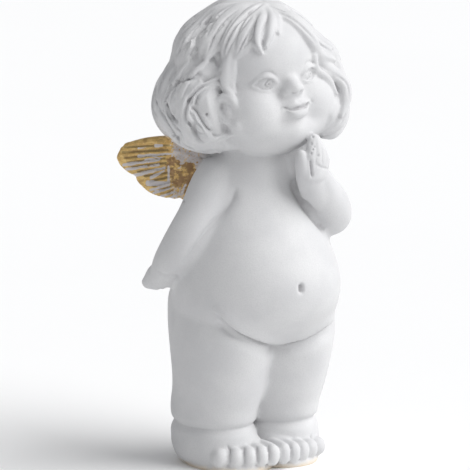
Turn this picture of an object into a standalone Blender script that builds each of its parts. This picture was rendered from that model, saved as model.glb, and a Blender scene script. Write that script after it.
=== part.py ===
"""A cupid figurine cast in one piece: a standing winged child with one hand at its chin.

The figure faces -Y and stands on the ground plane, with the origin under its middle.
It is drawn in parts of its own height, 180 to the whole, and scaled to size at the end.
"""

import math

import bmesh
import bpy
import numpy as np
from mathutils import Euler, Matrix, Vector
from mathutils.bvhtree import BVHTree
from mathutils.kdtree import KDTree

HEIGHT = 0.180
CANON = 180.0
UNIT = HEIGHT / CANON

BODY_VOXEL = 1.2
HEAD_VOXEL = 1.0
CAST_VOXEL = 0.75
TRIANGLES = 9650
SOLE_SINK = 1.2
SOLE_CLEAR = 0.3

STROKE_STEPS = 60
STROKE_FADE = 0.12

PLASTER = (0.86, 0.86, 0.87, 1.0)
PLASTER_ROUGHNESS = 0.7

HEAD_CENTRE = (1.5, -3.5, 148.5)
HEAD_PITCH = math.radians(-12)
HEAD_ROLL = math.radians(-6)
HEAD_YAW = math.radians(3)
HAIR_CENTRE = np.array([0.5, 5.0, 1.0])
HAIR_RADII = np.array([30.0, 30.0, 27.0])
HAIR_TAPER = 0.16

WING_ROOT = (8.0, 14.0)
WING_SWEEP = math.radians(30)


# Shapes

def flow(keys, steps):
    """Rows along a smooth curve through the key rows."""
    keys = np.array(keys, float)
    ends = [2 * keys[0] - keys[1]], [2 * keys[-1] - keys[-2]]
    padded = np.vstack([ends[0], keys, ends[1]])
    along = np.linspace(0, len(keys) - 1, steps)
    first = np.minimum(along.astype(int), len(keys) - 2)
    u = (along - first)[:, None]
    a, b, c, d = (padded[first + k] for k in range(4))
    return b + 0.5 * u * (c - a + u * (2 * a - 5 * b + 4 * c - d + u * (3 * (b - c) + d - a)))


def loft(rings):
    """A closed skin over a row of rings, each with the same number of points."""
    count, sides = rings.shape[:2]
    points = np.vstack([rings.reshape(-1, 3), rings[0].mean(0), rings[-1].mean(0)])
    low, high = count * sides, count * sides + 1
    faces = []
    for ring in range(count - 1):
        for side in range(sides):
            here, there = ring * sides + side, ring * sides + (side + 1) % sides
            faces.append((here, there, there + sides, here + sides))
    last = (count - 1) * sides
    for side in range(sides):
        beside = (side + 1) % sides
        faces.append((low, beside, side))
        faces.append((high, last + side, last + beside))
    return points, faces


def ellipsoid(centre, radii, turn=(0, 0, 0), rows=24, sides=40):
    """A ball drawn out to three radii and turned by three angles in degrees."""
    polar = np.linspace(0.02, math.pi - 0.02, rows)[:, None]
    around = np.linspace(0, 2 * math.pi, sides, endpoint=False)[None, :]
    unit = np.stack(
        [np.sin(polar) * np.cos(around), np.sin(polar) * np.sin(around), -np.cos(polar) + 0 * around],
        axis=-1,
    )
    spin = np.array(Euler([math.radians(a) for a in turn]).to_matrix())
    return loft((unit * np.array(radii)) @ spin.T + np.array(centre))


def column(keys, steps=60, sides=72):
    """A body mass from level rows: height, across, forward and back middle, half width, front, back."""
    around = np.linspace(0, 2 * math.pi, sides, endpoint=False)
    rings = []
    for z, x, y, wide, front, back in flow(keys, steps):
        depth = np.where(np.sin(around) < 0, front, back)
        rings.append(np.stack([x + wide * np.cos(around), y + depth * np.sin(around), 0 * around + z], 1))
    return loft(np.array(rings))


def limb(keys, outward=(0, 0, 1), steps=24, sides=24, peak=1.0, tilt=0.0):
    """A round-ended limb along key rows: x, y, z, half width, half thickness.

    The thickness lies along the outward direction, a vector or a function of the place,
    a peak above 1 draws it up to a ridge, and the tilt rolls the limb about its own line.
    """
    rows = flow(keys, steps)
    spine, wide, thick = rows[:, :3], rows[:, 3], rows[:, 4]
    run = np.gradient(spine, axis=0)
    run = run / np.linalg.norm(run, axis=1)[:, None]
    out = np.array([outward(p) for p in spine]) if callable(outward) else np.tile(outward, (steps, 1))
    out = out - run * (out * run).sum(1)[:, None]
    out = out / np.linalg.norm(out, axis=1)[:, None]
    out = math.cos(tilt) * out + math.sin(tilt) * np.cross(run, out)
    side = np.cross(run, out)
    around = np.linspace(0, 2 * math.pi, sides, endpoint=False)
    crest = np.sign(np.sin(around)) * np.abs(np.sin(around)) ** peak
    rings = []

    def ring(k, shrink, push):
        reach = shrink * wide[k] * np.cos(around)[:, None] * side[k]
        rise = shrink * thick[k] * crest[:, None] * out[k]
        rings.append(spine[k] + run[k] * push + reach + rise)

    round_end = [math.radians(a) for a in (80, 60, 40, 20)]
    for angle in round_end:
        ring(0, math.cos(angle), -min(wide[0], thick[0]) * math.sin(angle))
    for k in range(steps):
        ring(k, 1, 0)
    for angle in reversed(round_end):
        ring(-1, math.cos(angle), min(wide[-1], thick[-1]) * math.sin(angle))
    return loft(np.array(rings))


def mirrored(shape):
    points, faces = shape
    return points * np.array([-1, 1, 1]), [tuple(reversed(face)) for face in faces]


# Clay

def mesh_of(shapes):
    points, faces, start = [], [], 0
    for shape_points, shape_faces in shapes:
        points.append(shape_points)
        faces += [tuple(v + start for v in face) for face in shape_faces]
        start += len(shape_points)
    mesh = bpy.data.meshes.new("clay")
    mesh.from_pydata(np.vstack(points).tolist(), [], faces)
    return mesh


def evaluated(mesh, *modifiers):
    """The mesh with modifiers applied, each given as its type and its settings. It is used up."""
    obj = bpy.data.objects.new("clay", mesh)
    bpy.context.scene.collection.objects.link(obj)
    for kind, settings in modifiers:
        modifier = obj.modifiers.new(kind, kind)
        for name, value in settings.items():
            setattr(modifier, name, value)
    graph = bpy.context.evaluated_depsgraph_get()
    result = bpy.data.meshes.new_from_object(obj.evaluated_get(graph))
    bpy.data.objects.remove(obj)
    bpy.data.meshes.remove(mesh)
    return result


def fused(meshes, voxel):
    """The outer skin of overlapping meshes, which are used up."""
    lump = bmesh.new()
    for mesh in meshes:
        lump.from_mesh(mesh)
        bpy.data.meshes.remove(mesh)
    together = bpy.data.meshes.new("clay")
    lump.to_mesh(together)
    lump.free()
    return evaluated(together, ("REMESH", {"mode": "VOXEL", "voxel_size": voxel}))


def places_of(mesh):
    points = np.empty(len(mesh.vertices) * 3)
    mesh.vertices.foreach_get("co", points)
    return points.reshape(-1, 3)


def set_places(mesh, points):
    mesh.vertices.foreach_set("co", points.ravel())
    mesh.update()


def normals_of(mesh):
    facing = np.empty(len(mesh.vertices) * 3)
    mesh.vertex_normals.foreach_get("vector", facing)
    return facing.reshape(-1, 3)


def neighbour_mean(mesh, values):
    """The mean of each point's neighbours, for values given point by point in columns."""
    ends = np.empty(len(mesh.edges) * 2, int)
    mesh.edges.foreach_get("vertices", ends)
    first, second = np.hstack([ends[0::2], ends[1::2]]), np.hstack([ends[1::2], ends[0::2]])
    count = np.maximum(np.bincount(first, minlength=len(values)), 1)
    columns = [np.bincount(first, column[second], len(values)) / count for column in values.T]
    return np.stack(columns, 1)


def relax(mesh, rounds, weight=None):
    """Draw each point towards its neighbours, everywhere or by the weight a function gives each place."""
    points = places_of(mesh)
    share = 0.6 if weight is None else 0.6 * weight(points)[:, None]
    for _ in range(rounds):
        points = points + share * (neighbour_mean(mesh, points) - points)
    set_places(mesh, points)


def near(*balls):
    """A weight that is one inside balls and falls to nothing past them."""
    def weight(points):
        most = np.zeros(len(points))
        for centre, radius in balls:
            away = np.linalg.norm(points - np.array(centre), axis=1) / radius
            most = np.maximum(most, np.clip(1.5 - 1.5 * away, 0, 1))
        return most
    return weight


def skin_tree(mesh):
    return BVHTree.FromPolygons(
        [tuple(point) for point in places_of(mesh)],
        [tuple(face.vertices) for face in mesh.polygons],
    )


def etch(mesh, strokes):
    """Press soft grooves into the skin: each a path of places with a width and a depth.

    A groove is laid on the nearest skin and fades out towards its ends.
    """
    tree = skin_tree(mesh)
    kept, sizes = [], []
    for path, wide, deep in strokes:
        for share, place in zip(np.linspace(0, 1, STROKE_STEPS), flow(path, STROKE_STEPS)):
            fade = min(1, share / STROKE_FADE, (1 - share) / STROKE_FADE)
            kept.append(tree.find_nearest(Vector(place))[0])
            sizes.append((wide, deep * fade))
    finder = KDTree(len(kept))
    for k, place in enumerate(kept):
        finder.insert(place, k)
    finder.balance()
    widest = 3 * max(wide for wide, depth in sizes)
    points, facing = places_of(mesh), normals_of(mesh)
    push = np.zeros(len(points))
    for k, point in enumerate(points):
        _, index, away = finder.find(point)
        if away < widest:
            wide, deep = sizes[index]
            push[k] = deep * math.exp(-(away / wide) ** 2)
    set_places(mesh, points - push[:, None] * facing)


def keep_largest(body):
    """Delete whatever isn't joined to the largest skin, such as a bubble sealed inside it."""
    waiting = set(body.verts)
    islands = []
    while waiting:
        ahead = [waiting.pop()]
        island = list(ahead)
        while ahead:
            beside = {vert for edge in ahead.pop().link_edges for vert in edge.verts} & waiting
            waiting -= beside
            ahead += beside
            island += beside
        islands.append(island)
    islands.sort(key=len)
    for island in islands[:-1]:
        bmesh.ops.delete(body, geom=island, context="VERTS")


def cut_flat(mesh, level):
    """Cut the mesh off below a level and fill in a flat sole."""
    body = bmesh.new()
    body.from_mesh(mesh)
    for vert in body.verts:
        if abs(vert.co.z - level) < SOLE_CLEAR:
            vert.co.z = level + math.copysign(SOLE_CLEAR, vert.co.z - level)
    bmesh.ops.bisect_plane(
        body, geom=body.verts[:] + body.edges[:] + body.faces[:], dist=1e-4,
        plane_co=(0, 0, level), plane_no=(0, 0, 1), clear_inner=True,
    )
    rim = [edge for edge in body.edges if edge.is_boundary]
    bmesh.ops.holes_fill(body, edges=rim, sides=0)
    keep_largest(body)
    bmesh.ops.triangulate(body, faces=body.faces[:])
    bmesh.ops.recalc_face_normals(body, faces=body.faces[:])
    body.to_mesh(mesh)
    body.free()


# Body

def torso():
    """Chest, belly and hips, from the seat to the neck."""
    return column([
        (44, 0, 1, 18, 12, 16),
        (49.5, 0, 0, 25, 20, 22),
        (55, 0, -1.5, 29.5, 27, 26),
        (61.5, 0, -2.5, 32, 32, 28),
        (69, 0, -3, 32.8, 34, 27),
        (77, 0, -3, 31.5, 33.5, 24.5),
        (85, 0, -3, 28.8, 30, 22),
        (93, 0, -2.5, 25.5, 25.5, 20),
        (101, 0, -1.5, 22.5, 21, 18),
        (110, 0, -0.5, 19, 18, 16),
        (118, 0, 0, 15, 17, 15),
        (128, 0, 0, 12, 13, 13),
    ])


def leg():
    """The left leg, a thick column with a fold above the foot."""
    return column([
        (16.2, 13.4, 4.6, 14.6, 18.8, 18),
        (18.8, 13.6, 4.6, 15.2, 20, 18.8),
        (23, 13.5, 4, 15.9, 20.4, 19.2),
        (29, 13.2, 1.5, 17, 20.5, 19.5),
        (36, 13.4, 0, 17.8, 21, 19.5),
        (46, 13.6, -1, 18.6, 23, 22),
        (56, 14.2, -1.5, 18, 23, 25),
        (66, 15.5, -1, 15.5, 18, 24),
        (72, 16, 0, 12, 11, 16),
    ])


def hanging_arm():
    """The right arm, held down beside the hip."""
    return limb([
        (-13, 0, 112, 9, 9.5), (-17, -1.5, 107, 9.5, 9.5), (-24, -4, 98, 8.8, 8.6),
        (-30.5, -3.5, 89, 8.2, 8), (-34, 1.5, 80, 7, 6.8), (-35, 5, 75, 5.6, 5.4),
    ], steps=40, sides=32)


def raised_arm():
    """The left arm, folded up so that the hand reaches the chin."""
    return [
        limb([
            (13, 0, 112, 9, 9.5), (19, -3, 107, 9.5, 9.5),
            (25.5, -8, 100, 9.2, 9.2), (28, -12, 95.5, 8.8, 8.8),
        ], steps=30, sides=32),
        limb([
            (28, -12, 95.5, 8.8, 8.8), (24.8, -15.5, 100, 8.6, 8.6),
            (20, -19, 106, 7.4, 7.2), (16.4, -22, 111.5, 6, 5.8),
        ], steps=30, sides=32),
    ]


def body(voxel):
    """The trunk, legs and arms as one smooth skin."""
    buttock = ellipsoid((11.5, 11, 55), (15.5, 15.5, 14))
    shoulder = ellipsoid((14.5, -6, 118.5), (11.5, 10.5, 9))
    shapes = [torso(), leg(), mirrored(leg()), buttock, mirrored(buttock), shoulder, hanging_arm()]
    shapes += raised_arm()
    skin = fused([mesh_of(shapes)], voxel)
    relax(skin, 4)
    relax(skin, 16, near(((0, 0, 118), 20), ((-15, 2, 113), 11), ((15, 2, 113), 11)))
    return skin


BELLY_FOLD = [
    (-27, -20.7, 64), (-22.5, -22.2, 60.3), (-16.2, -22.7, 55.9), (-9, -21.8, 52.2), (0.4, -18.4, 49.6),
    (5.9, -20.6, 50.2), (11.4, -22.5, 51.2), (18.5, -21.7, 53.9), (28.3, -15.5, 55),
]
ARM_FOLD = [
    (-13.3, -13.1, 110.3), (-16.2, -13.5, 104.8), (-20.4, -13, 99.6),
    (-25.1, -12.7, 94.9), (-30.9, -11.2, 87), (-34.8, -6.5, 79.6),
]
FOREARM_FOLD = [
    (9.6, -15.7, 110.9), (9.8, -17.6, 106.5), (13.4, -19.7, 99.4), (18.5, -20.2, 93.1), (26, -18, 89),
]
SEAT_CLEFT = [(0, 27, 66), (0, 30, 56), (0, 24, 46), (0, 19, 30), (0, 18, 15)]
NAVEL = [(0.9, -36.6, 74), (0.9, -36.6, 72.4)]


def folds():
    """The folds under the belly, beside the arms and between the buttocks, and the navel."""
    under = [(x, y, z - 1) for x, y, z in BELLY_FOLD]
    over = [(x, y, z + 3.4) for x, y, z in BELLY_FOLD]
    return [
        (under, 2.0, 1.9), (over, 2.8, -0.8), (ARM_FOLD, 1.9, 1.3), (FOREARM_FOLD, 1.9, 1.5),
        (SEAT_CLEFT, 1.9, 1.7), (NAVEL, 1.4, 2.4),
    ]


# Feet and hands

def toe_tip(across):
    """How far forward the row of toes comes at a distance from the middle."""
    return -23.4 + 0.02 * across * across


TOE_PLACES = [2.4, 7, 11.7, 16.4, 21.8]


def foot():
    """The left foot without its toes, and half of the casting between and under the feet."""
    return [
        column([
            (1.2, 12.6, 3, 12.4, 19, 14), (4, 13.2, 3.4, 14.6, 20.4, 17), (8, 13.6, 4, 15.4, 21, 18.6),
            (11, 13.6, 4.3, 15.4, 20.2, 19), (15, 13.6, 4.6, 15, 19.4, 18.8), (20, 13.4, 4.6, 12, 15, 16),
        ], steps=30, sides=60),
        column([
            (1.0, 9.6, 0, 16, 21, 16), (2.6, 9.6, 0, 16.4, 21.4, 16.5), (4.2, 9.6, 0, 14.5, 20, 15.5),
        ], steps=12, sides=60),
        limb([(8.5, 4, 9.6, 8.6, 8), (8, -5, 8.8, 8.2, 7.8), (7.6, -11.6, 6.8, 7.8, 6)], sides=40),
    ]


def toes():
    """Five tall toes of the left foot, from the big one out."""
    made = []
    for k, across in enumerate(TOE_PLACES):
        tip, tall = toe_tip(across), 4.3 - 0.15 * k
        wide = 2.6 + 0.15 * k
        made.append(limb([
            (across * 0.98 - 0.4 * k, tip + 12, tall + 3.1, wide, tall),
            (across - 0.2 * k, tip + 7, tall + 3.3, wide, tall),
            (across, tip + 2.4, tall + 3.0, wide, tall),
        ], steps=16, sides=32, peak=0.8))
    return made


def hanging_hand():
    """The right hand, flexed outwards like a mitten."""
    return limb([(-34.3, 4, 77, 5.2, 4.8), (-35.4, 8.6, 72.6, 5.4, 4), (-35.6, 13.4, 69.6, 3.8, 2.4)],
                outward=(1, 0, 0.6), sides=28)


KNUCKLES = [(9.2, -28.2, 116.6), (12, -27.8, 117), (14.8, -26.6, 117), (17.4, -25, 116.5)]
FINGERTIPS = [(9.9, -29, 128.6), (11.9, -28.8, 128.6), (14.2, -27.6, 126), (16.8, -25.8, 122.6)]


def raised_hand():
    """The left hand at the chin: palm, thumb and four fingers laid together."""
    made = [
        limb([(21, -18.5, 103, 6.4, 6), (16, -22.4, 108.4, 6.4, 4.8), (12.8, -25, 114.4, 6.9, 4)],
             (0.3, -1, 0), sides=32),
        limb([(12.6, -26.4, 114, 6.6, 3.6), (12.8, -27.4, 120, 6, 3.4), (11.8, -28.2, 125, 4, 2.9),
              (10.7, -28.8, 128.8, 1.9, 1.8)], (0.3, -1, 0), sides=28),
        limb([(12, -22, 106, 2.6, 2.4), (8.4, -25.8, 112.4, 2.9, 2.6), (6.4, -27.8, 118.6, 2.7, 2.4),
              (5.6, -28.6, 123, 1.9, 1.8)], sides=20),
    ]
    for knuckle, tip in zip(KNUCKLES, FINGERTIPS):
        bend = [(a + b) / 2 for a, b in zip(knuckle, tip)]
        bend[1] -= 0.6
        made.append(limb([(*knuckle, 2.3, 2), (*bend, 2.3, 2), (*tip, 1.5, 1.4)], sides=20))
    return made


def toe_grooves():
    """The grooves between the toes of both feet."""
    made = []
    for first, second in zip(TOE_PLACES, TOE_PLACES[1:]):
        across = (first + second) / 2
        tip = toe_tip(across) - 0.4
        for side in (-1, 1):
            x = across * side
            made.append(([(x, tip + 5, 10), (x, tip + 1, 7), (x, tip + 1, 3)], 0.8, 0.9))
    return made


# Head

def head_frame():
    turn = Euler((HEAD_PITCH, HEAD_ROLL, HEAD_YAW)).to_matrix().to_4x4()
    return Matrix.Translation(Vector(HEAD_CENTRE)) @ turn


def face():
    """Skull, cheeks, chin and nose, drawn round the middle of the head."""
    made = [
        ellipsoid((0, 3, 4), (25, 26, 25)),
        ellipsoid((0, -8, 7), (20.5, 17, 17)),
        ellipsoid((0, -12, -21), (9.5, 10.5, 7)),
        ellipsoid((0, -5, -20.5), (18, 17, 9)),
        ellipsoid((0, -16, -12), (9, 7.4, 7.5)),
        ellipsoid((8, -7, -18), (13.5, 13, 9)),
        limb([(0, -21.4, -0.5, 2.6, 2), (0, -23.2, -3, 2.8, 2.4), (0, -24.8, -5.2, 3, 2.7)], (0, -1, 0)),
    ]
    for side in (-1, 1):
        made.append(ellipsoid((10.8 * side, -9, -11), (13, 13.5, 12.5)))
        made.append(ellipsoid((3.3 * side, -23.2, -5.9), (2.1, 2.3, 1.9)))
    return made


EYE_MIDDLE = (9.6, -1.7)
UPPER_LID = [(4.9, -2.5), (7.2, 0.2), (10, 1.3), (12.8, 0.6), (14.8, -1.1)]
LOWER_LID = [(4.9, -2.5), (7.4, -3.9), (10, -4.3), (12.8, -3.2), (14.8, -1.1)]
EAR_RIM = [
    (21.6, -13.4, -15), (24, -9.8, -11.4), (25.2, -8.2, -6.6),
    (24.2, -10.2, -3.4), (22, -13.6, -4.4), (20.8, -14.8, -8),
]


def face_finder(skull):
    """A function that gives the place on the face at a distance across and a height."""
    tree = skin_tree(skull)

    def on_face(across, height, proud=0.0):
        found, facing, _, _ = tree.ray_cast(Vector((across, -60, height)), Vector((0, 1, 0)))
        return np.array(found + facing * proud)

    return on_face


def features(on_face):
    """Lips, eyes and ears, laid on the face."""

    def ridge(path, proud, *radii):
        places = [on_face(x, z, proud) for x, z in path]
        sizes = np.interp(np.linspace(0, 1, len(path)), np.linspace(0, 1, len(radii)), radii)
        return limb([(*place, size, size) for place, size in zip(places, sizes)])

    made = [
        ridge([(-4.6, -11.5), (-0.9, -11.2), (0.8, -11.6), (2.5, -11.2), (6.4, -11.5)],
              0.0, 0.5, 1.0, 0.9, 1.0, 0.5),
        ridge([(-3.6, -12.9), (-1, -14.7), (2.8, -14.7), (5.6, -12.9)], 0.1, 0.5, 1.8, 1.8, 0.5),
    ]
    for side in (-1, 1):
        eye = on_face(EYE_MIDDLE[0] * side, EYE_MIDDLE[1], -1.3)
        made.append(ellipsoid(eye, (4.4, 2.1, 2.6), (0, 0, 27 * side)))
        made.append(ridge([(x * side, z) for x, z in UPPER_LID], 0.25, 0.35, 0.8, 0.8, 0.35))
        made.append(ridge([(x * side, z) for x, z in LOWER_LID], 0.15, 0.35, 0.65, 0.65, 0.35))
        made.append(limb([(x * side, y, z, 1.6, 1.6) for x, y, z in EAR_RIM], steps=30))
        made.append(ellipsoid((21 * side, -13.8, -14.2), (2.3, 2.3, 2.8)))
        made.append(ellipsoid((21.6 * side, -9.6, -8.4), (2, 4.4, 5.2), (0, 0, 25 * side)))
    return made


# Hair

HAIR_SEED = 4


def heading(azimuth, elevation):
    """A direction from the middle of the hair, by its angle round from the brow and above the ears."""
    a, e = math.radians(azimuth), math.radians(elevation)
    return np.array([math.sin(a) * math.cos(e), -math.cos(a) * math.cos(e), math.sin(e)])


def scalp(direction, lift):
    """A place over the scalp in a direction."""
    taper = 1 - HAIR_TAPER * direction[2] * np.array([1, 1, 0])
    return HAIR_CENTRE + (HAIR_RADII + lift) * taper * direction


def smooth_step(values, low, high):
    share = np.clip((values - low) / (high - low), 0, 1)
    return share * share * (3 - 2 * share)


def cap_lift(azimuth, elevation):
    """How far the cap of hair stands over the scalp: sunk out of sight at the face and under the nape."""
    turn = (azimuth + 180) % 360 - 180
    low = smooth_step(-elevation, 20, 42)
    left = smooth_step(turn, 20, 45) * smooth_step(-turn, -115, -75)
    beside = smooth_step(abs(turn + 8 + 14 * low * (turn > 0)), 44, 58)
    above = smooth_step(elevation, 42, 56)
    swell = 2.6 + 1.2 * smooth_step(-elevation, -15, 5) - 4 * smooth_step(-elevation, 50, 72)
    swell -= 4.4 * smooth_step(elevation, 30, 72)
    swell += left * (LEFT_FLARE * low - 1.4 - 1.6 * smooth_step(elevation, 0, 25))
    swell -= 2.2 * low * smooth_step(-turn, 85, 110)
    return max(beside, above) * (swell + 9) - 9


def hair_cap():
    rings = [[scalp(heading(a, e), cap_lift(a, e)) for a in range(0, 360, 4)] for e in range(-85, 86, 4)]
    return loft(np.array(rings))


# Each of these locks is rows of azimuth, elevation, height over the skin, half width and half thickness.
BROW_LOCKS = [
    [(18, 61, 0.2, 2.4, 1.6), (-13, 52, 0.7, 4.4, 2), (-32, 39, 1.0, 5.4, 2.2), (-44, 27, 1.0, 4.4, 2.2),
     (-52, 15, 0.8, 0.8, 1)],
    [(12, 58, 0.2, 2, 1.4), (-14, 45, 0.5, 4.2, 2), (-28, 33, 0.7, 4.6, 2.2), (-36, 24, 0.5, 2.8, 1.8),
     (-42, 17, 0.2, 0.6, 0.8)],
    [(2, 50, 0.0, 1.6, 1), (-16, 38, 0.4, 2.6, 1.6), (-27, 27, 0.4, 2, 1.6), (-33, 20, 0.2, 0.5, 0.7)],
    [(4, 56, 0.2, 1.8, 1.4), (-11, 42, 0.8, 2.6, 2.2), (-20, 31, 1.3, 2.4, 2.3), (-23, 24, 1.1, 1.8, 1.8),
     (-21, 17, 0.6, 0.5, 0.7)],
    [(10, 54, 0.2, 1.8, 1.4), (-2, 40, 0.7, 2.2, 2), (-11, 29, 1.1, 2, 2), (-17, 21, 1.0, 0.9, 1)],
    [(14, 52, 0.0, 1.6, 1.2), (5, 40, 0.4, 1.9, 1.5), (-3, 28, 0.3, 0.7, 0.8)],
    [(22, 60, 0.0, 2.2, 1.4), (19, 48, 0.3, 3, 1.6), (21, 35, 0.6, 3.2, 2), (25, 20, 0.8, 3, 2.4),
     (34, 8, 1, 2.4, 2.4), (48, 0, 1, 0.8, 1)],
    [(30, 64, 0, 2.8, 1.4), (27, 50, 0.2, 4, 1.7), (31, 34, 0.3, 4.4, 2), (40, 19, 0.6, 4.6, 2.4),
     (52, 8, 0.9, 4.2, 2.6), (66, 0, 1, 1.6, 1.8)],
    [(42, 64, 0, 2.8, 1.4), (40, 46, 0, 4.6, 1.6), (46, 30, 0.2, 5, 2), (58, 15, 0.5, 4.6, 2.4),
     (74, 5, 1, 1.6, 2)],
    [(-46, 20, 0.6, 2, 2), (-51, 9, 1.2, 3, 2.6), (-53, -2, 1.4, 2.2, 2), (-47, -12, 1, 0.5, 0.7)],
    [(-43, 16, 0.4, 1.2, 1.2), (-46, 8, 0.8, 1.6, 1.4), (-48, 0, 0.8, 1.2, 1.2), (-47, -8, 0.6, 0.4, 0.5)],
    [(34, 6, 0.6, 2, 2), (44, -4, 1, 3, 2.6), (50, -16, 1.4, 3.2, 2.8), (50, -28, 1.6, 2.6, 2.6),
     (44, -38, 1.6, 0.6, 0.8)],
    [(26, 8, 0.2, 1.4, 1.4), (30, -3, 0.6, 1.8, 1.8), (38, -13, 0.8, 1.8, 1.8), (44, -24, 0.8, 0.8, 0.9)],
    [(54, 0, 0, 2, 2), (57, -14, 0.2, 3.4, 2.4), (55, -30, 0.6, 3.8, 2.8), (49, -44, 0.8, 3.2, 2.8),
     (40, -54, 0.6, 0.8, 1)],
    [(76, -8, 0.4, 2, 2), (74, -24, 1, 4, 3), (70, -40, 2, 4.6, 4), (63, -52, 3, 4, 4), (54, -58, 2, 1, 1.2)],
]
# The broad locks of the crown, from the parting to where each ends.
CROWN_LOCKS = [
    [(20, 63), (-24, 59), (-50, 47), (-60, 33), (-64, 20)],
    [(16, 64), (-56, 62), (-77, 48), (-83, 31), (-90, 16)],
    [(14, 66), (-60, 71), (-91, 58), (-100, 38), (-112, 20)],
    [(18, 68), (-70, 79), (-112, 64), (-121, 42), (-132, 18)],
    [(24, 70), (-100, 86), (-142, 64), (-146, 42), (-156, 22)],
    [(28, 70), (-170, 84), (-172, 60), (-170, 38), (-178, 16)],
    [(32, 70), (160, 80), (160, 60), (160, 40), (156, 20)],
    [(34, 70), (128, 80), (136, 60), (138, 40), (134, 17)],
    [(36, 68), (100, 74), (114, 56), (116, 38), (112, 20)],
    [(38, 66), (78, 66), (92, 50), (95, 34), (92, 15)],
    [(38, 64), (60, 58), (72, 44), (76, 28), (74, 14)],
]
CROWN_HALF = 6.4
CROWN_TILT = math.radians(13)
# The locks that turn round the ears run between these two, given for the right side.
INNER_CURL = [(-56, 14), (-70, 0), (-76, -16), (-72, -30), (-58, -38)]
OUTER_CURL = [(-122, 22), (-124, 0), (-121, -20), (-117, -38), (-92, -54)]
CURL_COUNT = 9
NAPE_COUNT = 10
LEFT_FLARE = 3.0


def sized(ways, proud, wide, thick):
    """Lock rows from directions, with heights, half widths and half thicknesses spread along them."""
    share = np.linspace(0, 1, len(ways))
    along = [np.interp(share, np.linspace(0, 1, len(values)), values) for values in (proud, wide, thick)]
    return list(zip(ways, *along))


def crown_locks():
    """The broad locks of the crown, each standing over the one before it on one side."""
    locks = []
    for k, keys in enumerate(CROWN_LOCKS):
        rise = 0.6 + 1.2 * (k % 2)
        ways = [heading(*key) for key in keys]
        locks.append((sized(ways, (0, rise, rise, 1.2 + rise, 1), (2, 5.4, CROWN_HALF, 5, 1),
                            (1.2, 2.1, 2.5, 2.5, 1)), -CROWN_TILT))
    return locks


def curl_locks(side):
    """The locks that turn back and then in under the ear."""
    locks = []
    inner, outer = np.array(INNER_CURL, float), np.array(OUTER_CURL, float)
    for k in range(CURL_COUNT):
        keys = inner + (outer - inner) * k / (CURL_COUNT - 1)
        fine = flow(keys, 9)
        fine[:, 0] += 3 * np.sin(np.arange(9) * 1.6 + 2.1 * k)
        rise = 0.4 + 1.7 * (k % 2)
        ways = [heading(-side * a, e) for a, e in fine]
        locks.append((sized(ways, (0, rise, rise, rise, 0.6), (1.8, 3.6, 4, 3.6, 0.8),
                            (1.4, 2.8, 3.1, 2.8, 0.9)), side * 0.3))
    return locks


def nape_locks():
    locks = []
    for k in range(NAPE_COUNT):
        turn = 120 + (360 - 240) * (k + 0.5) / NAPE_COUNT
        sway = 7 * math.sin(1.9 * k + 1)
        leans = ((-1, 16), (0.8, 4), (-0.6, -10), (1, -24), (-0.3, -38), (1, -52))
        ways = [heading(turn + sway * lean, e) for lean, e in leans]
        rise = 0.3 + 1.4 * (k % 2)
        locks.append((sized(ways, (0.4, 1 + rise, 1.4 + rise, 1.2 + rise, 1.6), (2, 3.6, 3.8, 3.2, 0.8),
                            (2, 3, 3.2, 2.8, 1)), 0.2))
    return locks


def hair(base):
    """The locks of hair laid on the base, a skull in its cap of hair."""
    tree = skin_tree(base)

    def over(direction, proud):
        start = scalp(direction, 25)
        found = tree.ray_cast(Vector(start), Vector(HAIR_CENTRE - start))[0]
        return np.array(found) + direction * proud

    brow = [([(heading(a, e), *sizes) for a, e, *sizes in keys], 0.0) for keys in BROW_LOCKS]
    made = []
    for rows, tilt in brow + crown_locks() + curl_locks(-1) + curl_locks(1) + nape_locks():
        keys = [(*over(way, proud), wide, thick) for way, proud, wide, thick in rows]
        made.append(limb(keys, lambda place: place - HAIR_CENTRE, 30, 20, 1.2, tilt))
    return made


# Wings

def on_wing(out, z, proud=0.0):
    """A place on the left wing, by its distance out from the root and its height."""
    sine, cosine = math.sin(WING_SWEEP), math.cos(WING_SWEEP)
    across = WING_ROOT[0] + out * cosine + proud * sine
    back = WING_ROOT[1] + out * sine - proud * cosine
    return across, back, z


# Each feather is where it starts and ends, as distance out and height.
LONG_FEATHERS = [
    ((12, 120.5), (34.8, 119.4)), ((13, 118.6), (35.6, 117.4)), ((14, 117), (34.8, 115.3)),
    ((15, 115.6), (33.6, 113.4)), ((15, 113.8), (32.0, 111.6)), ((15, 111.8), (29.6, 109.8)),
    ((14.5, 110), (27.0, 108.2)),
]
LOWER_FEATHERS = [
    ((13, 109), (24.9, 106)), ((12.4, 107.4), (23.4, 104.2)), ((11.4, 106.2), (21, 102.4)),
    ((10, 105.4), (18.2, 101.2)), ((8.4, 104.8), (14.9, 100.8)), ((6.4, 104.4), (11.6, 100.6)),
]


def cover_feathers():
    """Three rows of short rounded feathers over the root of the wing."""
    made = []
    for row, (start, spread) in enumerate(((13.5, 3.4), (9.5, 2.8), (5.5, 2.2))):
        for k in range(5):
            share = (k + 0.5 * (row % 2)) / 5
            begin = (start - spread * share * share - 1, 119 - 13.5 * share)
            made.append((begin, (begin[0] + 4.6 - 1.6 * share, begin[1] - 0.8 - 3.4 * share)))
    return made


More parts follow.
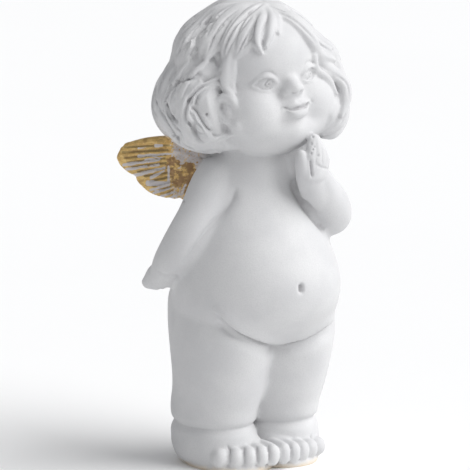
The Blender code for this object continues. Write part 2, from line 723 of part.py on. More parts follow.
def wing():
    """The left wing: a thick root and leading edge, long feathers, a lower row and cover feathers."""
    facing = np.array(on_wing(0, 0, 1)) - np.array(on_wing(0, 0, 0))
    blade = [
        (8, 111, 10.4), (14, 111.6, 11.4), (18.4, 112.1, 11.4), (21.6, 112.8, 10.7), (24.4, 113.8, 9),
        (27.4, 115.2, 7), (30.6, 115.7, 6), (33.4, 116.5, 4.4), (35.2, 117.4, 2.8),
    ]
    shapes = [
        limb([(4, 10, 106, 9, 7), (*on_wing(4, 110), 9, 4.5), (*on_wing(14, 111), 9, 3)], (0.5, -0.86, 0)),
        limb([(*on_wing(3, 117), 3.4, 3), (*on_wing(14, 121.6), 2.8, 2.6), (*on_wing(24, 122.2), 2, 2.2),
              (*on_wing(33, 120.6), 1.4, 1.4)], facing),
        limb([(*on_wing(out, z), half, 1.5) for out, z, half in blade], facing, 40, 40, 0.7),
    ]
    covers = cover_feathers()
    rows = ((LONG_FEATHERS, 1.6, 2.0, -0.6), (LOWER_FEATHERS, 1.5, 1.9, -0.2), (covers, 2.1, 2.1, 1.2))
    for feathers, wide, thick, proud in rows:
        for start, end in feathers:
            middle = ((start[0] + end[0]) / 2, (start[1] + end[1]) / 2 + 0.5)
            shapes.append(limb([
                (*on_wing(*start, proud), wide * 0.8, thick),
                (*on_wing(*middle, proud), wide, thick),
                (*on_wing(*end, proud * 0.3), wide * 0.6, thick * 0.6),
            ], facing, sides=20, peak=1.2))
    return shapes


# The cast

def figurine():
    """The whole figurine as one closed skin."""
    turned = head_frame()
    skull = fused([mesh_of(face())], HEAD_VOXEL)
    relax(skull, 4)
    on_face = face_finder(skull)
    head = fused([skull, mesh_of([hair_cap()])], HEAD_VOXEL)
    on_head = mesh_of(features(on_face) + hair(head))
    head.transform(turned)
    on_head.transform(turned)
    sink = np.array([0, 0, SOLE_SINK])
    lefts = [(points - sink, faces) for points, faces in foot() + toes()] + wing()
    others = mesh_of(lefts + [mirrored(shape) for shape in lefts] + raised_hand() + [hanging_hand()])
    skin = fused([body(BODY_VOXEL), head, on_head, others], CAST_VOXEL)
    relax(skin, 2)
    etch(skin, folds() + toe_grooves())
    share = TRIANGLES / (2 * len(skin.polygons))
    skin = evaluated(skin, ("TRIANGULATE", {}), ("DECIMATE", {"ratio": share}))
    cut_flat(skin, 0)
    return skin


def plaster():
    material = bpy.data.materials.new("plaster")
    material.use_nodes = True
    shader = material.node_tree.nodes["Principled BSDF"]
    shader.inputs["Base Color"].default_value = PLASTER
    shader.inputs["Roughness"].default_value = PLASTER_ROUGHNESS
    return material


def main():
    for obj in list(bpy.data.objects):
        bpy.data.objects.remove(obj)
    mesh = figurine()
    mesh.transform(Matrix.Scale(UNIT, 4))
    mesh.materials.append(plaster())
    mesh.shade_smooth()
    cupid = bpy.data.objects.new("cupid_figurine", mesh)
    bpy.context.scene.collection.objects.link(cupid)


if __name__ == "__main__":
    main()
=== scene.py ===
import math

import bmesh
import bpy
import numpy as np
from bpy.props import FloatProperty, FloatVectorProperty, IntProperty, PointerProperty
from mathutils import Euler, Matrix, Vector
from mathutils.bvhtree import BVHTree
from mathutils.kdtree import KDTree


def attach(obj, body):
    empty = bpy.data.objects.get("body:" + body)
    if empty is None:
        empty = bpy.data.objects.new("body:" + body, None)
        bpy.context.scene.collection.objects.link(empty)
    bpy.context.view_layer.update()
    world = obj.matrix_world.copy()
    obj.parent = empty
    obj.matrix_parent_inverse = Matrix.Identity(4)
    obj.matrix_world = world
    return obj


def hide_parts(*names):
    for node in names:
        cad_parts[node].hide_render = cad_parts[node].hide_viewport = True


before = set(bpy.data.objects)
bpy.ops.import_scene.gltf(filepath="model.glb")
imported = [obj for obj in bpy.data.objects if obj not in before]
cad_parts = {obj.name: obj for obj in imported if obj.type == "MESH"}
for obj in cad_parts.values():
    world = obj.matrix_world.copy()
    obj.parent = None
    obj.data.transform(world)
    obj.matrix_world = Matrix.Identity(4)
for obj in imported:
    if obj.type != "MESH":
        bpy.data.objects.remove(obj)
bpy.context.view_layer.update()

bl_info = {
    "name": "Cupid figurine",
    "version": (1, 0, 0),
    "blender": (4, 5, 0),
    "location": "3D View > Sidebar > Cupid",
    "description": "A white plaster cupid with gold brushed on its wings, and a small studio to show it in",
    "category": "Add Mesh",
}

NODE = "cupid_figurine"

# The figure is drawn in parts of its own height, 180 to the whole, facing -Y.
CANON = 180.0

SOLE_SINK = 1.2
SOLE_CLEAR = 0.15

HEAD_CENTRE = (1.5, -3.5, 148.5)
HEAD_PITCH = math.radians(-12)
HEAD_ROLL = math.radians(-6)
HEAD_YAW = math.radians(3)
HAIR_CENTRE = np.array([0.5, 5.0, 1.0])
HAIR_RADII = np.array([30.0, 30.0, 27.0])
HAIR_TAPER = 0.16

WING_ROOT = (8.0, 14.0)
WING_SWEEP = math.radians(30)


# Shapes

def flow(keys, steps):
    """Rows along a smooth curve through the key rows."""
    keys = np.array(keys, float)
    ends = [2 * keys[0] - keys[1]], [2 * keys[-1] - keys[-2]]
    padded = np.vstack([ends[0], keys, ends[1]])
    along = np.linspace(0, len(keys) - 1, steps)
    first = np.minimum(along.astype(int), len(keys) - 2)
    u = (along - first)[:, None]
    a, b, c, d = (padded[first + k] for k in range(4))
    return b + 0.5 * u * (c - a + u * (2 * a - 5 * b + 4 * c - d + u * (3 * (b - c) + d - a)))


def loft(rings):
    """A closed skin over a row of rings, each with the same number of points."""
    count, sides = rings.shape[:2]
    points = np.vstack([rings.reshape(-1, 3), rings[0].mean(0), rings[-1].mean(0)])
    low, high = count * sides, count * sides + 1
    faces = []
    for ring in range(count - 1):
        for side in range(sides):
            here, there = ring * sides + side, ring * sides + (side + 1) % sides
            faces.append((here, there, there + sides, here + sides))
    last = (count - 1) * sides
    for side in range(sides):
        beside = (side + 1) % sides
        faces.append((low, beside, side))
        faces.append((high, last + side, last + beside))
    return points, faces


def ellipsoid(centre, radii, turn=(0, 0, 0), rows=24, sides=40):
    """A ball drawn out to three radii and turned by three angles in degrees."""
    polar = np.linspace(0.02, math.pi - 0.02, rows)[:, None]
    around = np.linspace(0, 2 * math.pi, sides, endpoint=False)[None, :]
    unit = np.stack(
        [np.sin(polar) * np.cos(around), np.sin(polar) * np.sin(around), -np.cos(polar) + 0 * around],
        axis=-1,
    )
    spin = np.array(Euler([math.radians(a) for a in turn]).to_matrix())
    return loft((unit * np.array(radii)) @ spin.T + np.array(centre))


def column(keys, steps=60, sides=72):
    """A body mass from level rows: height, across, forward and back middle, half width, front, back."""
    around = np.linspace(0, 2 * math.pi, sides, endpoint=False)
    rings = []
    for z, x, y, wide, front, back in flow(keys, steps):
        depth = np.where(np.sin(around) < 0, front, back)
        rings.append(np.stack([x + wide * np.cos(around), y + depth * np.sin(around), 0 * around + z], 1))
    return loft(np.array(rings))


# The angles of the rings that round off the end of a limb.
ROUND_END = [math.radians(a) for a in (80, 60, 40, 20)]


class Rails:
    """The middle line of a limb with its directions, half width and half thickness at each step."""

    def __init__(self, keys, outward, steps, tilt=0.0):
        rows = flow(keys, steps)
        self.spine, self.wide, self.thick = rows[:, :3], rows[:, 3], rows[:, 4]
        run = np.gradient(self.spine, axis=0)
        self.run = run / np.linalg.norm(run, axis=1)[:, None]
        if callable(outward):
            out = np.array([outward(place) for place in self.spine])
        else:
            out = np.tile(np.array(outward, float), (steps, 1))
        out = out - self.run * (out * self.run).sum(1)[:, None]
        out = out / np.linalg.norm(out, axis=1)[:, None]
        self.out = math.cos(tilt) * out + math.sin(tilt) * np.cross(self.run, out)
        self.side = np.cross(self.run, self.out)

    def line(self, start, end=None, lift=1.0):
        """The line over the limb between shares of its half width, from -1 to 1, at its two ends."""
        across = np.linspace(start, start if end is None else end, len(self.spine))
        over = lift * np.sqrt(1 - np.minimum(1, across * across))
        beside = self.side * (self.wide * across)[:, None]
        return self.spine + beside + self.out * (self.thick * over)[:, None]

    def skin(self, sides, peak):
        around = np.linspace(0, 2 * math.pi, sides, endpoint=False)
        crest = np.sign(np.sin(around)) * np.abs(np.sin(around)) ** peak
        rings = []

        def ring(k, shrink, push):
            reach = shrink * self.wide[k] * np.cos(around)[:, None] * self.side[k]
            rise = shrink * self.thick[k] * crest[:, None] * self.out[k]
            rings.append(self.spine[k] + self.run[k] * push + reach + rise)

        for angle in ROUND_END:
            ring(0, math.cos(angle), -min(self.wide[0], self.thick[0]) * math.sin(angle))
        for k in range(len(self.spine)):
            ring(k, 1, 0)
        for angle in reversed(ROUND_END):
            ring(-1, math.cos(angle), min(self.wide[-1], self.thick[-1]) * math.sin(angle))
        return loft(np.array(rings))


def limb(keys, outward=(0, 0, 1), steps=24, sides=24, peak=1.0):
    """A round-ended limb along key rows: x, y, z, half width, half thickness."""
    return Rails(keys, outward, steps).skin(sides, peak)


def mirrored(shape):
    """A closed shape on the other side of the middle plane."""
    points, faces = shape
    return points * np.array([-1, 1, 1]), [tuple(reversed(face)) for face in faces]


class Strokes:
    """Lines of the carver's tool: places with a width and a depth, a ridge where the depth is negative.

    A stroke is laid on the nearest skin within its reach.
    """

    SPACING = 0.25

    def __init__(self):
        self.rows = []

    def draw(self, path, wide, deep, fade=0.15, reach=0.9):
        """Add a smooth stroke through a path, fading out over a share of its length at each end."""
        path = np.array(path, float)
        length = np.linalg.norm(np.diff(path, axis=0), axis=1).sum()
        steps = max(4, int(length / self.SPACING))
        share = np.linspace(0, 1, steps)
        ends = np.clip(np.minimum(share, 1 - share) / fade, 0, 1) if fade else np.ones(steps)
        self.rows.append((flow(path, steps), wide, deep * ends, reach))

    def prick(self, place, wide, deep, reach=3):
        """Add a small pit."""
        self.rows.append((np.array([place], float), wide, np.array([deep], float), reach))

    def changed(self, change):
        """The same strokes with their places changed by a function."""
        made = Strokes()
        for places, wide, deep, reach in self.rows:
            made.rows.append((change(places), wide, deep, reach))
        return made

    def moved(self, matrix):
        turn, shift = np.array(matrix.to_3x3()), np.array(matrix.translation)
        return self.changed(lambda places: places @ turn.T + shift)

    def both_sides(self):
        """The same strokes with their mirror images."""
        made = self.changed(lambda places: places * np.array([-1, 1, 1]))
        made.rows = self.rows + made.rows
        return made

    def add(self, *others):
        for other in others:
            self.rows += other.rows


# Clay

def mesh_of(shapes):
    """One mesh of several closed shapes."""
    points, faces, start = [], [], 0
    for shape_points, shape_faces in shapes:
        points.append(shape_points)
        faces += [tuple(v + start for v in face) for face in shape_faces]
        start += len(shape_points)
    mesh = bpy.data.meshes.new("clay")
    mesh.from_pydata(np.vstack(points).tolist(), [], faces)
    return mesh


def evaluated(mesh, *modifiers):
    """The mesh with modifiers applied, each given as its type and its settings. It is used up."""
    obj = bpy.data.objects.new("clay", mesh)
    bpy.context.scene.collection.objects.link(obj)
    for kind, settings in modifiers:
        modifier = obj.modifiers.new(kind, kind)
        for name, value in settings.items():
            setattr(modifier, name, value)
    graph = bpy.context.evaluated_depsgraph_get()
    result = bpy.data.meshes.new_from_object(obj.evaluated_get(graph))
    bpy.data.objects.remove(obj)
    bpy.data.meshes.remove(mesh)
    return result


def fused(meshes, voxel):
    """The outer skin of overlapping meshes, which are used up."""
    lump = bmesh.new()
    for mesh in meshes:
        lump.from_mesh(mesh)
        bpy.data.meshes.remove(mesh)
    together = bpy.data.meshes.new("clay")
    lump.to_mesh(together)
    lump.free()
    return evaluated(together, ("REMESH", {"mode": "VOXEL", "voxel_size": voxel}))


def places_of(mesh):
    """The points of a mesh, one row each."""
    points = np.empty(len(mesh.vertices) * 3)
    mesh.vertices.foreach_get("co", points)
    return points.reshape(-1, 3)


def set_places(mesh, points):
    """Move the points of a mesh."""
    mesh.vertices.foreach_set("co", points.ravel())
    mesh.update()


def normals_of(mesh):
    """The way each point of a mesh faces."""
    facing = np.empty(len(mesh.vertices) * 3)
    mesh.vertex_normals.foreach_get("vector", facing)
    return facing.reshape(-1, 3)


def neighbour_mean(mesh, values):
    """The mean of each point's neighbours, for values given point by point in columns."""
    ends = np.empty(len(mesh.edges) * 2, int)
    mesh.edges.foreach_get("vertices", ends)
    first, second = np.hstack([ends[0::2], ends[1::2]]), np.hstack([ends[1::2], ends[0::2]])
    count = np.maximum(np.bincount(first, minlength=len(values)), 1)
    columns = [np.bincount(first, column[second], len(values)) / count for column in values.T]
    return np.stack(columns, 1)


RELAX_SHARE = 0.6


def relax(mesh, rounds, weight=None):
    """Draw each point towards its neighbours, everywhere or by the weight a function gives each place."""
    points = places_of(mesh)
    share = RELAX_SHARE if weight is None else RELAX_SHARE * weight(points)[:, None]
    for _ in range(rounds):
        points = points + share * (neighbour_mean(mesh, points) - points)
    set_places(mesh, points)


def near(*balls):
    """A weight that is one in the inner third of each ball and falls to nothing at its radius."""
    def weight(points):
        most = np.zeros(len(points))
        for centre, radius in balls:
            away = np.linalg.norm(points - np.array(centre), axis=1) / radius
            most = np.maximum(most, np.clip(1.5 - 1.5 * away, 0, 1))
        return most
    return weight


def skin_tree(mesh):
    """A finder of places on the faces of a mesh."""
    return BVHTree.FromPolygons(
        [tuple(point) for point in places_of(mesh)],
        [tuple(face.vertices) for face in mesh.polygons],
    )


# How many of its widths away the widest stroke still presses the skin.
STROKE_REACH = 3


def etch(mesh, strokes):
    """Press the strokes into the skin."""
    tree = skin_tree(mesh)
    kept, sizes = [], []
    for places, wide, deep, reach in strokes.rows:
        for place, depth in zip(places, deep):
            found, _, _, away = tree.find_nearest(Vector(place))
            if away <= reach:
                kept.append(found)
                sizes.append((wide, depth))
    finder = KDTree(len(kept))
    for k, place in enumerate(kept):
        finder.insert(place, k)
    finder.balance()
    widest = STROKE_REACH * max(wide for wide, depth in sizes)
    points, facing = places_of(mesh), normals_of(mesh)
    push = np.zeros(len(points))
    for k, point in enumerate(points):
        _, index, away = finder.find(point)
        if away < widest:
            wide, deep = sizes[index]
            push[k] = deep * math.exp(-(away / wide) ** 2)
    set_places(mesh, points - push[:, None] * facing)


def thinned(mesh, ratio, kept):
    """The mesh with a share of its triangles, taken least where the kept weight is high."""
    obj = bpy.data.objects.new("clay", mesh)
    bpy.context.scene.collection.objects.link(obj)
    group = obj.vertex_groups.new(name="kept")
    for index in np.nonzero(kept > 0.5)[0]:
        group.add([int(index)], 1.0, "REPLACE")
    obj.modifiers.new("triangles", "TRIANGULATE")
    collapse = obj.modifiers.new("fewer", "DECIMATE")
    collapse.ratio = min(1.0, ratio)
    collapse.vertex_group = "kept"
    collapse.invert_vertex_group = True
    graph = bpy.context.evaluated_depsgraph_get()
    result = bpy.data.meshes.new_from_object(obj.evaluated_get(graph))
    bpy.data.objects.remove(obj)
    bpy.data.meshes.remove(mesh)
    return result


def keep_largest(body):
    """Delete whatever isn't joined to the largest skin, such as a bubble sealed inside it."""
    waiting = set(body.verts)
    islands = []
    while waiting:
        ahead = [waiting.pop()]
        island = list(ahead)
        while ahead:
            beside = {vert for edge in ahead.pop().link_edges for vert in edge.verts} & waiting
            waiting -= beside
            ahead += beside
            island += beside
        islands.append(island)
    islands.sort(key=len)
    for island in islands[:-1]:
        bmesh.ops.delete(body, geom=island, context="VERTS")


def cut_flat(mesh, level):
    """Cut the mesh off below a level and fill in a flat sole."""
    body = bmesh.new()
    body.from_mesh(mesh)
    for vert in body.verts:
        if abs(vert.co.z - level) < SOLE_CLEAR:
            vert.co.z = level + math.copysign(SOLE_CLEAR, vert.co.z - level)
    bmesh.ops.bisect_plane(
        body, geom=body.verts[:] + body.edges[:] + body.faces[:], dist=1e-4,
        plane_co=(0, 0, level), plane_no=(0, 0, 1), clear_inner=True,
    )
    rim = [edge for edge in body.edges if edge.is_boundary]
    bmesh.ops.holes_fill(body, edges=rim, sides=0)
    keep_largest(body)
    bmesh.ops.triangulate(body, faces=body.faces[:])
    bmesh.ops.recalc_face_normals(body, faces=body.faces[:])
    body.to_mesh(mesh)
    body.free()


# Body

def torso():
    """Chest, belly and hips, from the seat to the neck."""
    return column([
        (44, 0, 1, 18, 12, 16),
        (49.5, 0, 0, 25, 20, 22),
        (55, 0, -1.5, 29.5, 27, 26),
        (61.5, 0, -2.5, 32, 32, 28),
        (69, 0, -3, 32.8, 34, 27),
        (77, 0, -3, 31.5, 33.5, 24.5),
        (85, 0, -3, 28.8, 30, 22),
        (93, 0, -2.5, 25.5, 25.5, 20),
        (101, 0, -1.5, 22.5, 21, 18),
        (110, 0, -0.5, 19, 18, 16),
        (118, 0, 0, 15, 17, 15),
        (128, 0, 0, 12, 13, 13),
    ])


def leg():
    """The left leg, a thick column with a fold above the foot."""
    return column([
        (16.2, 13.4, 4.6, 15.1, 18.9, 18.2),
        (18.8, 13.6, 4.6, 15.5, 20, 18.8),
        (23, 13.5, 4, 15.9, 20.4, 19.2),
        (29, 13.2, 1.5, 17, 20.5, 19.5),
        (36, 13.4, 0, 17.8, 21, 19.5),
        (46, 13.6, -1, 18.6, 23, 22),
        (56, 14.2, -1.5, 18, 23, 25),
        (66, 15.5, -1, 15.5, 18, 24),
        (72, 16, 0, 12, 11, 16),
    ])


def hanging_arm():
    """The right arm, held down beside the hip."""
    return limb([
        (-13, 0, 112, 9, 9.5), (-17, -1.5, 107, 9.5, 9.5), (-24, -4, 98, 8.8, 8.6),
        (-30.5, -3.5, 89, 8.2, 8), (-34, 1.5, 80, 7, 6.8), (-35, 5, 75, 5.6, 5.4),
    ], steps=40, sides=32)


def raised_arm():
    """The left arm, folded up so that the hand reaches the chin."""
    return [
        limb([
            (13, 0, 112, 9, 9.5), (19, -3, 107, 9.5, 9.5),
            (25.5, -8, 100, 9.2, 9.2), (28, -12, 95.5, 8.8, 8.8),
        ], steps=30, sides=32),
        limb([
            (28, -12, 95.5, 8.8, 8.8), (24.8, -15.5, 100, 8.6, 8.6),
            (20, -19, 106, 7.4, 7.2), (16.4, -22, 111.5, 6, 5.8),
        ], steps=30, sides=32),
    ]


# The neck and the shoulders, which are smoothed once more: middles and radii.
SOFT_JOINS = [((0, 0, 118), 20), ((-15, 2, 113), 11), ((15, 2, 113), 11)]


def body(voxel):
    """The trunk, legs and arms as one smooth skin."""
    buttock = ellipsoid((11.5, 11, 55), (15.5, 15.5, 14))
    shoulder = ellipsoid((14.5, -6, 118.5), (11.5, 10.5, 9))
    shapes = [torso(), leg(), mirrored(leg()), buttock, mirrored(buttock), shoulder, hanging_arm()]
    shapes += raised_arm()
    skin = fused([mesh_of(shapes)], voxel)
    relax(skin, 4)
    relax(skin, 16, near(*SOFT_JOINS))
    return skin


BELLY_FOLD = [
    (-27, -20.7, 64), (-22.5, -22.2, 60.3), (-16.2, -22.7, 55.9), (-9, -21.8, 52.2), (0.4, -18.4, 49.6),
    (5.9, -20.6, 50.2), (11.4, -22.5, 51.2), (18.5, -21.7, 53.9), (28.3, -15.5, 55),
]
ARM_FOLD = [
    (-13.3, -13.1, 110.3), (-16.2, -13.5, 104.8), (-20.4, -13, 99.6),
    (-25.1, -12.7, 94.9), (-30.9, -11.2, 87), (-34.8, -6.5, 79.6),
]
FOREARM_FOLD = [
    (9.6, -15.7, 110.9), (9.8, -17.6, 106.5), (13.4, -19.7, 99.4), (18, -20.2, 93.7), (22.5, -19.4, 90.6),
]
SEAT_CLEFT = [(0, 27, 66), (0, 30, 56), (0, 24, 46), (0, 19, 30), (0, 18, 15)]
SEAT_FOLD = [(3, 29, 50), (12, 26, 43), (22, 19, 44)]
NAVEL = [(0.9, -36.6, 74), (0.9, -36.6, 72.4)]
# How far a fold may lie off the skin that it is pressed into.
REACH_OUT = 8


def shifted(path, *by):
    """A path moved as a whole."""
    return [tuple(np.add(place, by)) for place in path]


def soft_body_strokes():
    """The broad hollows below the belly and beside the arms, with the belly swelling over its fold."""
    strokes = Strokes()
    strokes.draw(shifted(BELLY_FOLD, 0, 0, -2.6), 2.8, 1.3, 0.12, REACH_OUT)
    strokes.draw(shifted(BELLY_FOLD, 0, 0, 3.4), 2.8, -0.9, 0.12, REACH_OUT)
    strokes.draw(ARM_FOLD, 2, 0.9, 0.15, REACH_OUT)
    strokes.draw(FOREARM_FOLD, 2, 1.1, 0.15, REACH_OUT)
    return strokes


def body_strokes():
    """The crisp folds under the belly, beside the arms and round the buttocks, and the navel."""
    strokes = Strokes()
    strokes.draw(BELLY_FOLD, 0.8, 0.9, 0.1, REACH_OUT)
    strokes.draw(shifted(BELLY_FOLD[:4], -1.5, 0, -3.2), 0.7, 0.35, 0.5, REACH_OUT)
    strokes.draw(ARM_FOLD, 0.7, 0.5, 0.1, REACH_OUT)
    strokes.draw(FOREARM_FOLD, 0.7, 0.7, 0.1, REACH_OUT)
    strokes.draw(SEAT_CLEFT, 1.4, 1.2, 0.1, REACH_OUT)
    pair = Strokes()
    pair.draw(SEAT_FOLD, 1.2, 0.8, 0.4, REACH_OUT)
    strokes.add(pair.both_sides())
    strokes.draw(NAVEL, 0.9, 2.2, 0, 3)
    return strokes


# Feet and hands

def toe_tip(across):
    """How far forward the row of toes comes at a distance from the middle."""
    return -24 + 0.0165 * across * across


# The middles of the toes, out from the middle line.
TOE_PLACES = [2.4, 7, 11.6, 16.2, 21.2]


def foot():
    """The left foot without its toes, and half of the casting between and under the feet."""
    return [
        column([
            (1.2, 12.6, 3, 12.4, 19, 14), (4, 13.2, 3.4, 14.6, 20.4, 17), (8, 13.6, 4, 15.4, 21, 18.6),
            (11, 13.6, 4.3, 15.4, 20.2, 19), (15, 13.6, 4.6, 15, 19.4, 18.8), (20, 13.4, 4.6, 12, 15, 16),
        ], steps=30, sides=60),
        column([
            (1.0, 9.6, 0, 16, 21, 16), (2.6, 9.6, 0, 16.4, 21.4, 16.5), (4.2, 9.6, 0, 14.5, 20, 15.5),
        ], steps=12, sides=60),
        limb([(8.5, 4, 9.6, 8.6, 8), (8, -5, 8.8, 8.2, 7.8), (7.6, -11.6, 6.8, 7.8, 6)], sides=40),
    ]


def toes():
    """Five tall toes of the left foot, from the big one out."""
    made = []
    for k, across in enumerate(TOE_PLACES):
        tip, tall = toe_tip(across), 4.3 - 0.15 * k
        wide = 2.6 + 0.2 * k
        made.append(limb([
            (across * 0.98 - 0.4 * k, tip + 12, tall + 3.1, wide, tall),
            (across - 0.2 * k, tip + 7, tall + 3.3, wide, tall),
            (across, tip + 2.4, tall + 3.0, wide, tall),
        ], steps=16, sides=32, peak=0.8))
    return made


def toe_strokes():
    """The grooves between the toes of both feet."""
    strokes = Strokes()
    for first, second in zip(TOE_PLACES, TOE_PLACES[1:]):
        across = (first + second) / 2
        tip = toe_tip(across)
        strokes.draw([
            (across - 0.2, tip + 3.4, 10.6), (across, tip + 1.6, 8.6),
            (across, tip + 0.8, 6), (across, tip + 0.8, 3.4),
        ], 0.45, 0.65, 0.15, 2)
    return strokes.both_sides()


def hanging_hand():
    """The right hand, flexed outwards like a mitten."""
    return limb([(-34.3, 4, 77, 5.2, 4.8), (-36, 9, 72.8, 5, 3.8), (-37.8, 13.4, 70.3, 2.5, 1.8)],
                outward=(1, 0, 0.6), sides=28)


KNUCKLES = [(9.2, -28.2, 116.6), (12, -27.8, 117), (14.8, -26.6, 117), (17.4, -25, 116.5)]
FINGERTIPS = [(9.9, -29, 128.6), (11.9, -28.8, 128.6), (14.2, -27.6, 126), (16.8, -25.8, 122.6)]


def raised_hand():
    """The left hand at the chin: palm, thumb and four fingers laid together."""
    made = [
        limb([(21, -18.5, 103, 6.4, 6), (16, -22.4, 108.4, 6.4, 4.8), (12.8, -25, 114.4, 6.9, 4)],
             (0.3, -1, 0), sides=32),
        limb([(12.6, -26.4, 114, 6.6, 3.6), (12.8, -27.4, 120, 6, 3.4), (11.8, -28.2, 125, 4, 2.9),
              (10.7, -28.8, 128.8, 1.9, 1.8)], (0.3, -1, 0), sides=28),
        limb([(12, -22, 106, 2.6, 2.4), (8.4, -25.8, 112.4, 2.9, 2.6), (6.4, -27.8, 118.6, 2.7, 2.4),
              (5.6, -28.6, 123, 1.9, 1.8)], sides=20),
    ]
    for knuckle, tip in zip(KNUCKLES, FINGERTIPS):
        bend = [(a + b) / 2 for a, b in zip(knuckle, tip)]
        bend[1] -= 0.6
        made.append(limb([(*knuckle, 2.3, 2), (*bend, 2.3, 2), (*tip, 1.5, 1.4)], sides=20))
    return made


HAND_PITS = [
    (9.9, -30, 129.3), (8.6, -31, 127), (11.6, -31.5, 122.3), (9.2, -32, 124.9), (10.2, -31.5, 125.8),
    (8.2, -31.5, 123.4), (10.6, -31.5, 119.2),
]


def hand_strokes():
    """The grooves of the fingers and the thumb, small pits, and the creases of the hanging wrist."""
    strokes = Strokes()
    for first, second in zip(range(3), range(1, 4)):
        low = (np.array(KNUCKLES[first]) + np.array(KNUCKLES[second])) / 2 - np.array([0, 1.8, 0])
        high = (np.array(FINGERTIPS[first]) + np.array(FINGERTIPS[second])) / 2 - np.array([0, 1.4, 0])
        strokes.draw([low, (low + high) / 2 - np.array([0, 0.6, 0]), high], 0.35, 0.3, reach=2)
    for place in HAND_PITS:
        strokes.prick(place, 0.42, 0.9)
    strokes.draw([(9.6, -30, 113.6), (8.9, -30.6, 117), (8.2, -31, 121.4)], 0.4, 1.1, 0.15, 3)
    strokes.draw([(9.4, -31, 119.6), (13.6, -30.6, 117.4), (19, -27, 115.6)], 0.5, 0.5, 0.3, 3)
    strokes.draw([(-39, 3, 79), (-34, -3, 76.6), (-29.4, 4, 76)], 0.7, 0.5, 0.3, 3)
    strokes.draw([(-36, 3, 70), (-35, 8, 68), (-34.4, 13, 66.8)], 0.6, 0.6, 0.3, 3)
    return strokes


# Head

def head_frame():
    """The place and turn of the head on the figurine."""
    turn = Euler((HEAD_PITCH, HEAD_ROLL, HEAD_YAW)).to_matrix().to_4x4()
    return Matrix.Translation(Vector(HEAD_CENTRE)) @ turn


def face():
    """Skull, cheeks, chin and nose, drawn round the middle of the head."""
    made = [
        ellipsoid((0, 3, 4), (25, 26, 25)),
        ellipsoid((0, -8, 7), (20.5, 17, 17)),
        ellipsoid((0, -12, -21), (9.5, 10.5, 7)),
        ellipsoid((0, -5, -20.5), (18, 17, 9)),
        ellipsoid((0, -16, -12), (9, 7.4, 7.5)),
        ellipsoid((8, -7, -18), (13.5, 13, 9)),
        limb([(0, -21.4, -0.5, 2.6, 2), (0, -23.2, -3, 2.8, 2.4), (0, -24.8, -5.2, 3, 2.7)], (0, -1, 0)),
    ]
    for side in (-1, 1):
        made.append(ellipsoid((10.8 * side, -9, -11), (13, 13.5, 12.5)))
        made.append(ellipsoid((3.3 * side, -23.2, -5.9), (2.1, 2.3, 1.9)))
    return made


# Lines of the left eye and ear, the eye as distance across and height on the face.
EYE_MIDDLE = (9.6, -1.7)
UPPER_LID = [(4.9, -2.5), (7.2, 0.2), (10, 1.3), (12.8, 0.6), (14.8, -1.1)]
LOWER_LID = [(4.9, -2.5), (7.4, -3.9), (10, -4.3), (12.8, -3.2), (14.8, -1.1)]
IRIS_RADIUS = 1.45
LID_CREASE = [(5.4, 0.2), (8, 2.6), (11, 3), (14.4, 1.4)]
EAR_RIM = [
    (21.6, -13.4, -15), (24, -9.8, -11.4), (25.2, -8.2, -6.6),
    (24.2, -10.2, -3.4), (22, -13.6, -4.4), (20.8, -14.8, -8),
]


def face_finder(skull):
    """A function that gives the place on the face at a distance across and a height."""
    tree = skin_tree(skull)
    in_front = -60

    def on_face(across, height, proud=0.0):
        found, facing, _, _ = tree.ray_cast(Vector((across, in_front, height)), Vector((0, 1, 0)))
        return np.array(found + facing * proud)

    return on_face


def features(on_face):
    """Lips, eyes and ears, laid on the face."""

    def ridge(path, proud, *radii):
        places = [on_face(x, z, proud) for x, z in path]
        sizes = np.interp(np.linspace(0, 1, len(path)), np.linspace(0, 1, len(radii)), radii)
        return limb([(*place, size, size) for place, size in zip(places, sizes)])

    made = [
        ridge([(-4.6, -11.5), (-0.9, -11.2), (0.8, -11.6), (2.5, -11.2), (6.4, -11.5)],
              0.0, 0.5, 1.0, 0.9, 1.0, 0.5),
        ridge([(-3.6, -12.9), (-1, -14.7), (2.8, -14.7), (5.6, -12.9)], 0.1, 0.5, 1.8, 1.8, 0.5),
    ]
    for side in (-1, 1):
        eye = on_face(EYE_MIDDLE[0] * side, EYE_MIDDLE[1], -1.3)
        made.append(ellipsoid(eye, (4.4, 2.1, 2.6), (0, 0, 27 * side)))
        made.append(ridge([(x * side, z) for x, z in UPPER_LID], 0.25, 0.35, 0.8, 0.8, 0.35))
        made.append(ridge([(x * side, z) for x, z in LOWER_LID], 0.15, 0.35, 0.65, 0.65, 0.35))
        made.append(limb([(x * side, y, z, 1.6, 1.6) for x, y, z in EAR_RIM], steps=30))
        made.append(ellipsoid((21 * side, -13.8, -14.2), (2.3, 2.3, 2.8)))
        made.append(ellipsoid((21.6 * side, -9.6, -8.4), (2, 4.4, 5.2), (0, 0, 25 * side)))
    return made


